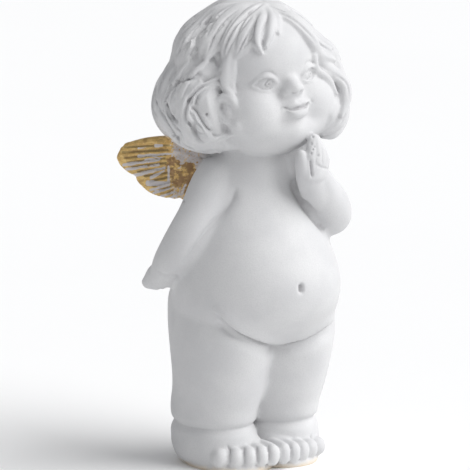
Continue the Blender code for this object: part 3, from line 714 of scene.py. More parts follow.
def face_strokes(on_face):
    """The line of the mouth, the nostrils, and the lids, iris and pupil of each eye."""
    strokes = Strokes()
    mouth = [(-5.4, -11.7), (-2.4, -12.7), (0.8, -12.9), (4, -12.8), (6.5, -12.1)]
    strokes.draw([on_face(x, z, 0.6) for x, z in mouth], 0.45, 1.1, 0.05, 2)
    for side in (-1, 1):
        strokes.prick(on_face(0.9 + 6.7 * side, -11.6), 0.7, 0.4)
        strokes.prick(on_face(1.7 * side, -7.2, 0.4), 0.75, 0.9)
        strokes.draw([on_face(x * side, z, 0.3) for x, z in LID_CREASE], 0.4, 0.5, 0.3, 2)
        for lid, drop in ((UPPER_LID, -0.9), (LOWER_LID, 0.7)):
            strokes.draw([on_face(x * side, z + drop, 0.6) for x, z in lid[1:-1]], 0.3, 0.6, 0.2, 2)
        middle = np.array(EYE_MIDDLE) * (side, 1) + (0.9, 0.1)
        ring = [
            on_face(*(middle + IRIS_RADIUS * np.array([math.cos(a), math.sin(a)])), 0.8)
            for a in np.linspace(0, 2 * math.pi, 13)
        ]
        strokes.draw(ring, 0.3, 0.6, 0, 2)
        strokes.prick(on_face(*middle, 0.8), 0.5, 1.0)
    return strokes


# Hair

HAIR_SEED = 4


def heading(azimuth, elevation):
    """A direction from the middle of the hair, by its angle round from the brow and above the ears."""
    a, e = math.radians(azimuth), math.radians(elevation)
    return np.array([math.sin(a) * math.cos(e), -math.cos(a) * math.cos(e), math.sin(e)])


def scalp(direction, lift):
    """A place over the scalp in a direction."""
    taper = 1 - HAIR_TAPER * direction[2] * np.array([1, 1, 0])
    return HAIR_CENTRE + (HAIR_RADII + lift) * taper * direction


def smooth_step(values, low, high):
    """From 0 at the low value to 1 at the high one, with soft ends."""
    share = np.clip((values - low) / (high - low), 0, 1)
    return share * share * (3 - 2 * share)


def cap_lift(azimuth, elevation):
    """How far the cap of hair stands over the scalp: sunk out of sight at the face and under the nape."""
    turn = (azimuth + 180) % 360 - 180
    low = smooth_step(-elevation, 20, 42)
    left = smooth_step(turn, 20, 45) * smooth_step(-turn, -115, -75)
    beside = smooth_step(abs(turn + 8 + 14 * low * (turn > 0)), 44, 58)
    above = smooth_step(elevation, 42, 56)
    swell = 2.6 + 1.2 * smooth_step(-elevation, -15, 5) - 4 * smooth_step(-elevation, 50, 72)
    swell -= 4.4 * smooth_step(elevation, 30, 72)
    swell += left * (LEFT_FLARE * low - 1.4 - 1.6 * smooth_step(elevation, 0, 25))
    swell -= 2.2 * low * smooth_step(-turn, 85, 110)
    return max(beside, above) * (swell + 9) - 9


def hair_cap():
    """The closed cap of hair that the locks are laid on."""
    rings = [[scalp(heading(a, e), cap_lift(a, e)) for a in range(0, 360, 4)] for e in range(-85, 86, 4)]
    return loft(np.array(rings))


# Each of these locks is rows of azimuth, elevation, height over the skin, half width and half thickness.
BROW_LOCKS = [
    [(18, 61, 0.2, 2.4, 1.6), (-13, 52, 0.7, 4.4, 2), (-32, 39, 1.0, 5.4, 2.2), (-44, 27, 1.0, 4.4, 2.2),
     (-52, 15, 0.8, 0.8, 1)],
    [(12, 58, 0.2, 2, 1.4), (-14, 45, 0.5, 4.2, 2), (-28, 33, 0.7, 4.6, 2.2), (-36, 24, 0.5, 2.8, 1.8),
     (-42, 17, 0.2, 0.6, 0.8)],
    [(2, 50, 0.0, 1.6, 1), (-16, 38, 0.4, 2.6, 1.6), (-27, 27, 0.4, 2, 1.6), (-33, 20, 0.2, 0.5, 0.7)],
    [(4, 56, 0.2, 1.8, 1.4), (-11, 42, 0.8, 2.6, 2.2), (-20, 31, 1.3, 2.4, 2.3), (-23, 24, 1.1, 1.8, 1.8),
     (-21, 17, 0.6, 0.5, 0.7)],
    [(10, 54, 0.2, 1.8, 1.4), (-2, 40, 0.7, 2.2, 2), (-11, 29, 1.1, 2, 2), (-17, 21, 1.0, 0.9, 1)],
    [(14, 52, 0.0, 1.6, 1.2), (5, 40, 0.4, 1.9, 1.5), (-3, 28, 0.3, 0.7, 0.8)],
    [(22, 60, 0.0, 2.2, 1.4), (19, 48, 0.3, 3, 1.6), (21, 35, 0.6, 3.2, 2), (25, 20, 0.8, 3, 2.4),
     (34, 8, 1, 2.4, 2.4), (48, 0, 1, 0.8, 1)],
    [(30, 64, 0, 2.8, 1.4), (27, 50, 0.2, 4, 1.7), (31, 34, 0.3, 4.4, 2), (40, 19, 0.6, 4.6, 2.4),
     (52, 8, 0.9, 4.2, 2.6), (66, 0, 1, 1.6, 1.8)],
    [(42, 64, 0, 2.8, 1.4), (40, 46, 0, 4.6, 1.6), (46, 30, 0.2, 5, 2), (58, 15, 0.5, 4.6, 2.4),
     (74, 5, 1, 1.6, 2)],
    [(-46, 20, 0.6, 2, 2), (-51, 9, 1.2, 3, 2.6), (-53, -2, 1.4, 2.2, 2), (-47, -12, 1, 0.5, 0.7)],
    [(-43, 16, 0.4, 1.2, 1.2), (-46, 8, 0.8, 1.6, 1.4), (-48, 0, 0.8, 1.2, 1.2), (-47, -8, 0.6, 0.4, 0.5)],
    [(34, 6, 0.6, 2, 2), (44, -4, 1, 3, 2.6), (50, -16, 1.4, 3.2, 2.8), (50, -28, 1.6, 2.6, 2.6),
     (44, -38, 1.6, 0.6, 0.8)],
    [(26, 8, 0.2, 1.4, 1.4), (30, -3, 0.6, 1.8, 1.8), (38, -13, 0.8, 1.8, 1.8), (44, -24, 0.8, 0.8, 0.9)],
    [(54, 0, 0, 2, 2), (57, -14, 0.2, 3.4, 2.4), (55, -30, 0.6, 3.8, 2.8), (49, -44, 0.8, 3.2, 2.8),
     (40, -54, 0.6, 0.8, 1)],
    [(74, -8, 0.2, 2, 2), (71, -24, 0.6, 3.6, 2.6), (66, -38, 1, 4, 3), (58, -50, 1.6, 3.4, 3),
     (48, -56, 1.2, 1, 1.2)],
]

# The broad locks of the crown, from the parting to where each ends.
CROWN_LOCKS = [
    [(20, 63), (-24, 59), (-50, 47), (-60, 33), (-64, 20)],
    [(16, 64), (-56, 62), (-77, 48), (-83, 31), (-90, 16)],
    [(14, 66), (-60, 71), (-91, 58), (-100, 38), (-112, 20)],
    [(18, 68), (-70, 79), (-112, 64), (-121, 42), (-132, 18)],
    [(24, 70), (-100, 86), (-142, 64), (-146, 42), (-156, 22)],
    [(28, 70), (-170, 84), (-172, 60), (-170, 38), (-178, 16)],
    [(32, 70), (160, 80), (160, 60), (160, 40), (156, 20)],
    [(34, 70), (128, 80), (136, 60), (138, 40), (134, 17)],
    [(36, 68), (100, 74), (114, 56), (116, 38), (112, 20)],
    [(38, 66), (78, 66), (92, 50), (95, 34), (92, 15)],
    [(38, 64), (60, 58), (72, 44), (76, 28), (74, 14)],
]
CROWN_HALF = 6.4
CROWN_TILT = math.radians(13)

# The locks that turn round the ears run between these two, given for the right side.
INNER_CURL = [(-56, 14), (-70, 0), (-76, -16), (-72, -30), (-58, -38)]
OUTER_CURL = [(-122, 22), (-124, 0), (-121, -20), (-117, -38), (-92, -54)]
CURL_COUNT = 9
NAPE_COUNT = 10
NAPE_START = 120
# The wave of a lock at the nape: how far it leans to the side, and its elevation.
NAPE_WAVE = [(-1, 16), (0.8, 4), (-0.6, -10), (1, -24), (-0.3, -38), (1, -52)]
# How much further the cap of hair stands out low on the left.
LEFT_FLARE = 3.0


# The deepest lines on the right side: a path of azimuth and elevation, a width and a depth.
CARVED_LINES = [
    ([(-97, 66), (-94, 54), (-101, 42), (-107, 34), (-123, 15)], 0.9, 1.2),
    ([(-50, 60), (-71, 55), (-76, 45), (-83, 31), (-101, 22)], 0.9, 1.1),
    ([(-58, 50), (-70, 47), (-77, 38), (-73, 26), (-82, 8)], 0.9, 1.7),
    ([(22, 62), (-13, 52), (-35, 41), (-45, 30), (-52, 17)], 0.6, 1.2),
    ([(-53, 13), (-64, 9), (-77, 8), (-92, 3), (-95, -4)], 1, 2.2),
    ([(-54, 5), (-65, 3), (-74, -4), (-79, -14), (-77, -24)], 0.7, 1.9),
    ([(-81, 8), (-94, -1), (-93, -12), (-87, -19)], 0.7, 1.8),
    ([(-122, 13), (-122, 3), (-107, -11), (-119, -30)], 0.7, 1.6),
    ([(-57, 4), (-68, -5), (-69, -17), (-66, -28), (-55, -32)], 0.8, 2.2),
    ([(-76, -18), (-78, -28), (-73, -36), (-58, -37)], 0.8, 2),
    ([(-88, -20), (-95, -35), (-90, -44), (-67, -46)], 0.7, 1.8),
    ([(-112, -22), (-118, -36), (-116, -48), (-75, -53)], 0.7, 1.6),
    ([(-102, 6), (-104, -8), (-99, -22), (-103, -38), (-84, -50)], 0.6, 1.5),
    ([(-128, 4), (-133, -12), (-126, -26), (-134, -40)], 0.7, 1.6),
    ([(60, 8), (76, 2), (84, -12), (80, -28), (66, -42)], 0.8, 2),
    ([(82, 10), (98, -2), (96, -18), (102, -34), (88, -50)], 0.7, 1.8),
]


def sized(ways, proud, wide, thick):
    """Lock rows from directions, with heights, half widths and half thicknesses spread along them."""
    share = np.linspace(0, 1, len(ways))
    along = [np.interp(share, np.linspace(0, 1, len(values)), values) for values in (proud, wide, thick)]
    return list(zip(ways, *along))


def crown_locks(chance):
    """Each broad lock of the crown, with a narrower one along either side of it."""
    locks = []
    for k, keys in enumerate(CROWN_LOCKS):
        rise = 0.9 * (k % 2)
        ways = [heading(*key) for key in keys]
        locks.append((sized(ways, (0, 0.4 + rise, 0.6 + rise, 1.2 + rise, 1), (2, 5.4, CROWN_HALF, 5, 1),
                            (1.2, 1.8, 2.1, 2.2, 1)), -CROWN_TILT))
        for shift in (-7, 6):
            fall = chance.uniform(-10, 4)
            ways = [heading(a + shift * share, e + fall * share)
                    for (a, e), share in zip(keys[1:], np.linspace(0.3, 1, len(keys) - 1))]
            locks.append((sized(ways, (0.2, 0.8, 1.2 + rise, 0.8), (1.6, 3.2, 3.4, 0.7), (1, 1.7, 2, 0.8)),
                          chance.uniform(-0.3, 0.1)))
    return locks


def curl_locks(side, chance):
    """The locks that turn back and then in under the ear."""
    locks = []
    inner, outer = np.array(INNER_CURL, float), np.array(OUTER_CURL, float)
    for k in range(CURL_COUNT):
        keys = inner + (outer - inner) * k / (CURL_COUNT - 1)
        fine = np.array(flow(keys, 9))
        wave = np.sin(np.arange(9) * 1.6 + 2.1 * k)
        fine[:, 0] += chance.uniform(1.8, 3.2) * wave
        fine[:, 1] += chance.uniform(-2, 2)
        rise = 1.7 * (k % 2) + chance.uniform(0, 0.5)
        ways = [heading(-side * a, e) for a, e in fine]
        locks.append((sized(ways, (-0.4, rise - 0.4, rise - 0.2, rise, 0.4), (2, 3.8, 4.2, 3.8, 0.9),
                            (1.4, 2.5, 2.9, 2.6, 0.9)), side * 0.3))
    for k in range(CURL_COUNT // 2):
        keys = inner + (outer - inner) * (k + 0.4) / (CURL_COUNT / 2)
        fine = np.array(flow(keys, 9))[:5]
        ways = [heading(-side * a, e) for a, e in fine + np.array([-2, 4])]
        locks.append((sized(ways, (1, 2.2, 2.6, 2.2), (1.2, 2.4, 2.4, 0.6), (1, 1.7, 1.7, 0.6)), 0.0))
    return locks


def nape_locks(chance):
    """The waved locks that hang at the back, from one ear round to the other."""
    locks = []
    for k in range(NAPE_COUNT):
        turn = NAPE_START + (360 - 2 * NAPE_START) * (k + 0.5) / NAPE_COUNT
        sway = 6 * math.sin(0.45 * k + 1)
        ways = [heading(turn + sway * lean, e) for lean, e in NAPE_WAVE]
        rise = 1.2 * (k % 2) + chance.uniform(0, 0.6)
        locks.append((sized(ways, (0.4, 1 + rise, 1.4 + rise, 1.2 + rise, 1.6), (2, 3.6, 3.8, 3.2, 0.8),
                            (2, 3, 3.2, 2.8, 1)), 0.2))
    return locks


CLEAR_OF_HAIR = 25
STRAND_SPACING = 1.15
STRANDS_MISSED = 0.25


def hair(base):
    """The locks laid on the base, a skull in its cap of hair, their deepest lines and fine strands."""
    tree = skin_tree(base)
    chance = np.random.default_rng(HAIR_SEED)
    shapes, strokes, deepest = [], Strokes(), Strokes()

    def over(direction, proud):
        start = scalp(direction, CLEAR_OF_HAIR)
        found = tree.ray_cast(Vector(start), Vector(HAIR_CENTRE - start))[0]
        return np.array(found) + direction * proud

    brow = [([(heading(a, e), *sizes) for a, e, *sizes in keys], 0.0) for keys in BROW_LOCKS]
    locks = brow + crown_locks(chance)
    locks += curl_locks(-1, chance) + curl_locks(1, chance) + nape_locks(chance)
    for rows, tilt in locks:
        keys = [(*over(way, proud), wide, thick) for way, proud, wide, thick in rows]
        rails = Rails(keys, lambda place: place - HAIR_CENTRE, 40, tilt)
        shapes.append(rails.skin(28, 1.2))
        broad = rails.wide.max()
        for across in np.linspace(-0.8, 0.8, max(1, int(broad / STRAND_SPACING))):
            if chance.uniform() < STRANDS_MISSED:
                continue
            line = rails.line(across + chance.uniform(-0.12, 0.12), across * chance.uniform(0.2, 1))
            begin, end = int(chance.uniform(0, 14)), int(chance.uniform(26, 40))
            strokes.draw(line[begin:end], chance.uniform(0.35, 0.55), chance.uniform(0.35, 1.15), 0.3)
    for path, wide, deep in CARVED_LINES:
        deepest.draw([over(heading(*way), 2.5) for way in path], wide, deep, 0.25, 6)
    return shapes, deepest, strokes


# Wings

def on_wing(out, z, proud=0.0):
    """A place on the left wing, by its distance out from the root and its height."""
    sine, cosine = math.sin(WING_SWEEP), math.cos(WING_SWEEP)
    across = WING_ROOT[0] + out * cosine + proud * sine
    back = WING_ROOT[1] + out * sine - proud * cosine
    return across, back, z


# Each feather is where it starts and ends, as distance out and height.
LONG_FEATHERS = [
    ((12, 120.5), (34.8, 119.4)), ((13, 118.6), (35.6, 117.4)), ((14, 117), (34.8, 115.3)),
    ((15, 115.6), (33.6, 113.4)), ((15, 113.8), (32.0, 111.6)), ((15, 111.8), (29.6, 109.8)),
    ((14.5, 110), (27.0, 108.2)),
]
LOWER_FEATHERS = [
    ((13, 109), (24.9, 106)), ((12.4, 107.4), (23.4, 104.2)), ((11.4, 106.2), (21, 102.4)),
    ((10, 105.4), (18.2, 101.2)), ((8.4, 104.8), (14.9, 100.8)), ((6.4, 104.4), (11.6, 100.6)),
]


def cover_feathers():
    """Three rows of short rounded feathers over the root of the wing."""
    made = []
    for row, (start, spread) in enumerate(((13.5, 3.4), (9.5, 2.8), (5.5, 2.2))):
        for k in range(5):
            share = (k + 0.5 * (row % 2)) / 5
            begin = (start - spread * share * share - 1, 119 - 13.5 * share)
            made.append((begin, (begin[0] + 4.6 - 1.6 * share, begin[1] - 0.8 - 3.4 * share)))
    return made


def wing():
    """The left wing, from a root, an edge, a blade and feathers, and the strokes on both its faces."""
    facing = np.array(on_wing(0, 0, 1)) - np.array(on_wing(0, 0, 0))
    shapes = [
        limb([(4, 10, 106, 9, 7), (*on_wing(4, 110), 9, 4.5), (*on_wing(14, 111), 9, 3)],
             (0.5, -0.86, 0), sides=32),
        limb([(*on_wing(3, 117), 3.4, 3), (*on_wing(14, 121.6), 2.8, 2.6), (*on_wing(24, 122.2), 2, 2.2),
              (*on_wing(33, 120.6), 1.4, 1.4)], facing, sides=24),
    ]
    blade = [
        (8, 111, 10.4), (14, 111.6, 11.4), (18.4, 112.1, 11.4), (21.6, 112.8, 10.7), (24.4, 113.8, 9),
        (27.4, 115.2, 7), (30.6, 115.7, 6), (33.4, 116.5, 4.4), (35.2, 117.4, 2.8),
    ]
    blade_rows = [(*on_wing(out, z), half, 1.4) for out, z, half in blade]
    shapes.append(limb(blade_rows, facing, steps=40, sides=40, peak=0.7))
    ribs = Strokes()
    rows = (
        (LONG_FEATHERS, 1.6, 1.9, -0.6), (LOWER_FEATHERS, 1.5, 1.8, -0.2),
        (cover_feathers(), 2.1, 1.9, 1.2),
    )
    for feathers, wide, thick, proud in rows:
        for start, end in feathers:
            middle = ((start[0] + end[0]) / 2, (start[1] + end[1]) / 2 + 0.5)
            rails = Rails([
                (*on_wing(*start, proud), wide * 0.8, thick),
                (*on_wing(*middle, proud), wide, thick),
                (*on_wing(*end, proud * 0.3), wide * 0.6, thick * 0.6),
            ], facing, 24)
            shapes.append(rails.skin(20, 1.2))
            ribs.draw(rails.line(0), 0.35, -0.3, 0.1)
            ribs.draw(rails.line(0, lift=-1.0), 0.35, -0.3, 0.1)
    for start, end in LONG_FEATHERS + LOWER_FEATHERS:
        for proud in (-3, 3):
            places = [(out, z + 0.95) for out, z in flow([start, end], 6)[1:]]
            ribs.draw([on_wing(*place, proud) for place in places], 0.4, 0.5, 0.1, 4)
    return shapes, ribs


# The cast

# Small pits left by the casting, in the hair and behind the hanging arm, darkened by the painted shade of
# the hollows.
CASTING_PITS = [
    (-22.7, -15.5, 146), (-27.5, -14.6, 138.9), (25.3, -6, 167.9), (26.9, -19.4, 160.6), (-31.4, 4, 128.3),
    (-29.9, -1.9, 104.1), (-30.4, -8, 150), (-33, 2, 141), (12, 22, 160), (-14, 30, 142), (24, 22, 136),
]


def bare_skin(points):
    """A weight for smoothing that keeps off the head, the raised fingers, the feet and the wings."""
    low = np.clip((points[:, 2] - 14) / 4, 0, 1)
    high = np.clip((112 - points[:, 2]) / 6, 0, 1)
    forward = np.clip((16 - points[:, 1]) / 3, 0, 1)
    below_wings = np.clip((96 - points[:, 2]) / 3, 0, 1)
    return low * high * np.maximum(forward, below_wings)


def cast_figurine(sizes):
    """The whole figurine as one skin."""
    turned = head_frame()
    skull = fused([mesh_of(face())], sizes.head_voxel)
    relax(skull, 6)
    on_face = face_finder(skull)
    head = fused([skull, mesh_of([hair_cap()])], sizes.head_voxel)
    locks, deepest, strands = hair(head)
    pits = Strokes()
    left_wing, ribs = wing()
    ribs = ribs.both_sides()
    for place in CASTING_PITS:
        pits.prick(place, 0.5, 1.5)
    sink = np.array([0, 0, SOLE_SINK])
    lefts = [(points - sink, faces) for points, faces in foot() + toes()] + left_wing
    on_head = mesh_of(features(on_face) + locks)
    head.transform(turned)
    on_head.transform(turned)
    others = mesh_of(lefts + [mirrored(shape) for shape in lefts] + raised_hand() + [hanging_hand()])
    skin = fused([body(sizes.body_voxel), head, on_head, others], sizes.cast_voxel)
    relax(skin, 2)
    relax(skin, 8, bare_skin)
    soft = soft_body_strokes()
    soft.add(deepest.moved(turned))
    etch(skin, soft)
    strokes = body_strokes()
    strokes.add(
        toe_strokes(), hand_strokes(), face_strokes(on_face).moved(turned),
        strands.moved(turned), pits, ribs,
    )
    etch(skin, strokes)
    faces = len(skin.polygons)
    skin = thinned(skin, sizes.triangles / (2 * faces), on_wings(places_of(skin)))
    cut_flat(skin, 0)
    return skin


# Where the gold has missed the ribs: start and end, as distance out and height, and half width.
WHITE_RIBS = [
    ((13.6, 118.2), (28.5, 116.9), 0.55), ((19.5, 116.4), (26, 115.6), 0.3),
    ((20.7, 115.6), (34.2, 113.5), 0.6), ((20.7, 113.6), (33.2, 111.7), 0.55),
    ((18.7, 112.4), (30.5, 109.3), 0.75), ((19, 111.1), (23.8, 108.5), 0.6),
    ((17.2, 106.4), (25, 106.4), 1.1), ((17.2, 113), (17.2, 106), 0.55),
    ((17.5, 105.6), (24.2, 103.7), 0.55), ((16, 104.6), (22.8, 102.6), 0.5),
    ((14.6, 103.1), (20, 101.2), 0.55), ((13.1, 102.1), (17.2, 100.2), 0.5),
    ((19.8, 121.1), (22, 121), 0.7), ((10.6, 106.5), (12.6, 101.5), 0.45),
    ((25.5, 120.4), (28.6, 120), 0.25),
]
# The brown of the cover feathers: middles, as distance out and height, and radii.
BROWN_PATCHES = [
    ((15.6, 114.2), (2.8, 2.4)), ((13.6, 108.8), (2.6, 3.6)), ((7.4, 105.6), (4.2, 6.6)),
    ((9.8, 112.4), (3, 2.2)), ((15.2, 110.6), (2, 1.6)),
]
# A distance that is longer than any on the figurine, to start from.
FAR_OFF = 1e3


def mark(mesh, name, kind, values):
    """Store one value for each point of the mesh as a named attribute."""
    layer = mesh.attributes.new(name, kind, "POINT")
    slot = "vector" if kind == "FLOAT_VECTOR" else "value"
    layer.data.foreach_set(slot, values.astype(np.float32).ravel())


def wing_places(points):
    """Distance out along a wing, distance in front of its middle plane, and height, for either wing."""
    sine, cosine = math.sin(WING_SWEEP), math.cos(WING_SWEEP)
    across, back = np.abs(points[:, 0]) - WING_ROOT[0], points[:, 1] - WING_ROOT[1]
    return across * cosine + back * sine, across * sine - back * cosine, points[:, 2]


def on_wings(points):
    """A weight that is 1 on the wings and 0 elsewhere."""
    out, proud, level = wing_places(points)
    weight = smooth_step(out, 1.5, 6) * smooth_step(-np.abs(proud), -6.5, -4.5)
    return weight * smooth_step(level, 96, 98.5) * smooth_step(-level, -126, -124)


def mark_finish(mesh):
    """Store on each point how hollow it lies, which drives the painted shade, how far it is on a wing, and
    where on that wing.

    On the wings it also stores how far the point is from the bare ribs, the brown patches and the
    lines between feathers.
    """
    points, facing = places_of(mesh), normals_of(mesh)
    hollow = ((neighbour_mean(mesh, points) - points) * facing).sum(1)[:, None]
    for _ in range(2):
        hollow = neighbour_mean(mesh, hollow)
    mark(mesh, "hollow", "FLOAT", hollow[:, 0])
    gilt = on_wings(points)
    mark(mesh, "gilt", "FLOAT", gilt)
    out, proud, level = wing_places(points)
    mark(mesh, "spread", "FLOAT_VECTOR", np.stack([out, level, proud], 1))

    place = np.stack([out, level], 1)
    bare = np.full(len(points), FAR_OFF)
    for start, end, wide in WHITE_RIBS:
        start, run = np.array(start), np.array(end) - np.array(start)
        along = ((place - start) @ run) / (run @ run)
        share = np.clip(along, 0, 1)
        away = np.linalg.norm(place - start - share[:, None] * run, axis=1)
        bare = np.minimum(bare, away - wide * (0.55 + 0.45 * share))
    mark(mesh, "bare", "FLOAT", bare)
    brown = np.full(len(points), FAR_OFF)
    for centre, radii in BROWN_PATCHES:
        brown = np.minimum(brown, np.linalg.norm((place - np.array(centre)) / np.array(radii), axis=1))
    mark(mesh, "brown", "FLOAT", brown)
    line = np.full(len(points), FAR_OFF)
    for start, end in LONG_FEATHERS + LOWER_FEATHERS:
        start, run = np.array(start) + (0, 0.95), np.array(end) - np.array(start)
        share = np.clip(((place - start) @ run) / (run @ run), 0.2, 0.96)
        line = np.minimum(line, np.linalg.norm(place - start - share[:, None] * run, axis=1))
    mark(mesh, "between", "FLOAT", line)


# Materials

class Wire:
    """A socket of a shader tree that sums can be written with."""

    def __init__(self, paint, socket):
        self.paint, self.socket = paint, socket

    def _sum(self, operation, *values):
        return self.paint.node("ShaderNodeMath", {"operation": operation}, dict(enumerate(values)))

    def __add__(self, other):
        return self._sum("ADD", self, other)

    def __mul__(self, other):
        return self._sum("MULTIPLY", self, other)

    def __sub__(self, other):
        return self._sum("SUBTRACT", self, other)

    def __rsub__(self, other):
        return self._sum("SUBTRACT", other, self)

    __radd__ = __add__
    __rmul__ = __mul__


class Paint:
    """A material and the nodes that make its finish."""

    def __init__(self, name):
        self.material = bpy.data.materials.new(name)
        self.material.use_nodes = True
        self.tree = self.material.node_tree
        self.shader = self.tree.nodes["Principled BSDF"]

    def node(self, kind, settings, sockets, output=0):
        """Add a node: its settings first, then the values or wires of its sockets."""
        made = self.tree.nodes.new(kind)
        for name, value in settings.items():
            setattr(made, name, value)
        for name, value in sockets.items():
            self.feed(made.inputs[name], value)
        return Wire(self, made.outputs[output])

    def feed(self, socket, value):
        if isinstance(value, Wire):
            self.tree.links.new(value.socket, socket)
        else:
            socket.default_value = value

    def noise(self, place, scale, detail=2.0, rough=0.5):
        sockets = {"Vector": place, "Scale": scale, "Detail": detail, "Roughness": rough}
        return self.node("ShaderNodeTexNoise", {}, sockets)

    def step(self, value, low, high):
        """A soft step from 0 at low to 1 at high."""
        sockets = {"Value": value, "From Min": low, "From Max": high}
        return self.node("ShaderNodeMapRange", {"interpolation_type": "SMOOTHSTEP"}, sockets)

    def mix(self, share, first, second):
        """A blend of two colours, each of them a wire or a plain colour."""
        ends = [value if isinstance(value, Wire) else (*value, 1) for value in (first, second)]
        sockets = {0: share, 6: ends[0], 7: ends[1]}
        return self.node("ShaderNodeMix", {"data_type": "RGBA"}, sockets, 2)

    def scaled(self, place, factors):
        return self.node("ShaderNodeVectorMath", {"operation": "MULTIPLY"}, {0: place, 1: factors})

    def attribute(self, name, output="Fac"):
        return self.node("ShaderNodeAttribute", {"attribute_name": name}, {}, output)


def figurine_paint(plaster, gilding):
    """White plaster with a fine grain and painted shade in its hollows, gold brushed over the feathers with
    painted shade in its grooves and hollows, and a warm rim at the base.
    """
    paint = Paint("gilded_plaster")
    place = paint.node("ShaderNodeTexCoord", {}, {}, "Object")
    place = paint.scaled(place, (1000, 1000, 1000))
    level = paint.node("ShaderNodeSeparateXYZ", {}, {0: place}, "Z")
    hollow = paint.attribute("hollow")
    cloud = paint.noise(place, 0.06, 3)
    grain = paint.noise(place, 1.6, 4, 0.7)
    colour = paint.mix(paint.step(cloud, 0.35, 0.7), plaster.colour, plaster.cloud)
    # Painted shade: the plaster darkens towards its shadow colour in grooves and hollows.
    colour = paint.mix(paint.step(hollow, 0.02, 0.12) * 0.55, colour, plaster.shadow)
    speck = paint.noise(place, 2.6, 2, 0.6)
    colour = paint.mix(paint.step(speck, 0.42, 0.66) * 0.4, colour, plaster.speck)
    rim = (1 - paint.step(level + paint.noise(place, 0.25) * 3.0, 1.2, 4.2)) * 0.75
    colour = paint.mix(rim, colour, plaster.rim)

    gilt = paint.attribute("gilt")
    spread = paint.attribute("spread", "Vector")
    out = paint.node("ShaderNodeSeparateXYZ", {}, {0: spread}, "X")
    height = paint.node("ShaderNodeSeparateXYZ", {}, {0: spread}, "Y")
    blot = paint.noise(paint.scaled(spread, (0.5, 0.5, 0.5)), 1.0, 3, 0.6)
    wear = paint.noise(paint.scaled(spread, (0.4, 1.1, 0.8)), 1.0, 4, 0.7)
    fleck = paint.noise(spread, 1.3, 3, 0.6)
    rib = 1 - paint.step(paint.attribute("bare") + (wear - 0.5) * 1.5, -0.1, 0.15)
    patch = 1 - paint.step(paint.attribute("brown") + (wear - 0.5) * 1.2, 0.8, 1.15)
    between = 1 - paint.step(paint.attribute("between") + (blot - 0.5) * 0.8, 0.15, 0.6)
    tone = paint.step(wear, 0.38, 0.62)
    gold = paint.mix(tone, gilding.gold, gilding.light)
    gold = paint.mix(paint.step(blot, 0.5, 0.6) * 0.6, gold, gilding.deep)
    tip = paint.step(out, 29.0, 33.0)
    root = 1 - paint.step(out, 14.0, 19.0)
    # Painted shade: olive gold in the groove between feathers, weaker towards the tips and absent at the
    # roots.
    gold = paint.mix(between * (0.85 - tip * 0.25) * (1 - root), gold, gilding.olive_groove_shade)
    gold = paint.mix(patch * paint.step(blot, 0.36, 0.5) * 0.85, gold, gilding.brown)
    # Painted shade: the gold turns brown in the hollows of the wings.
    gold = paint.mix(paint.step(hollow, 0.01, 0.07) * 0.6, gold, gilding.brown)
    high = paint.step(height, 111.5, 114.0)
    missed = root * (1 - patch) * (0.5 + high * 0.12) + (1 - root) * (1 - tip) * 0.12
    bare = 1 - paint.step(fleck + (0.5 - missed) * 0.8, 0.42, 0.58)
    bare = bare + rib - bare * rib
    brushed = gilt * (1 - bare * 0.92) * gilding.cover
    colour = paint.mix(gilt * 0.5, colour, gilding.stained)
    colour = paint.mix(brushed, colour, gold)

    paint.feed(paint.shader.inputs["Base Color"], colour)
    paint.feed(paint.shader.inputs["Roughness"], plaster.roughness - brushed * 0.25)
    paint.feed(paint.shader.inputs["Metallic"], brushed * gilding.metal)
    height = grain * plaster.grain + brushed * 0.05
    bump = paint.node("ShaderNodeBump", {}, {"Height": height, "Strength": 0.5, "Distance": 0.0006})
    paint.feed(paint.shader.inputs["Normal"], bump)
    return paint.material


def plain_paint(name, colour, roughness):
    """A nearly even colour with a faint cloud in it."""
    paint = Paint(name)
    place = paint.node("ShaderNodeTexCoord", {}, {}, "Object")
    cloud = paint.step(paint.noise(place, 3.0), 0.3, 0.7)
    dimmed = [channel * 0.99 for channel in colour]
    paint.feed(paint.shader.inputs["Base Color"], paint.mix(cloud, colour, dimmed))
    paint.shader.inputs["Roughness"].default_value = roughness
    return paint.material


# Settings

def colour_property(name, description, default):
    """A colour setting."""
    return FloatVectorProperty(
        name=name, description=description, subtype="COLOR", min=0, max=1, default=default,
    )


def number(name, description, default, **limits):
    """A number setting."""
    return FloatProperty(name=name, description=description, default=default, **limits)


class FigurineSizes(bpy.types.PropertyGroup):
    """The size of the figurine and how finely it is modelled."""

    height: number("Height", "Height from the soles to the crown", 0.180, unit="LENGTH")
    body_voxel: number("Body fineness", "Cell of the first body skin, in 180ths of the height", 1.0)
    head_voxel: number("Head fineness", "Cell of the first head skin, in 180ths of the height", 0.8)
    cast_voxel: number("Cast fineness", "Cell of the whole skin, in 180ths of the height", 0.45)
    triangles: IntProperty(
        name="Triangles", description="Triangles kept in the finished mesh", default=190000,
    )


class PlasterFinish(bpy.types.PropertyGroup):
    """The look of the bare plaster."""

    colour: colour_property("Plaster", "Clean plaster", (0.655, 0.655, 0.66))
    cloud: colour_property("Cloud", "The duller tone that drifts over the plaster", (0.60, 0.60, 0.61))
    speck: colour_property("Specks", "The fine darker grain of the plaster", (0.54, 0.54, 0.55))
    # Painted shade: the colour that the plaster darkens to in grooves and hollows.
    shadow: colour_property("Hollows", "Plaster at the bottom of a groove", (0.42, 0.41, 0.42))
    rim: colour_property("Rim", "The warm edge round the soles", (0.80, 0.66, 0.48))
    roughness: number("Roughness", "Roughness of the plaster", 0.68, min=0, max=1)
    grain: number("Grain", "Depth of the casting grain", 0.3, min=0, max=1)


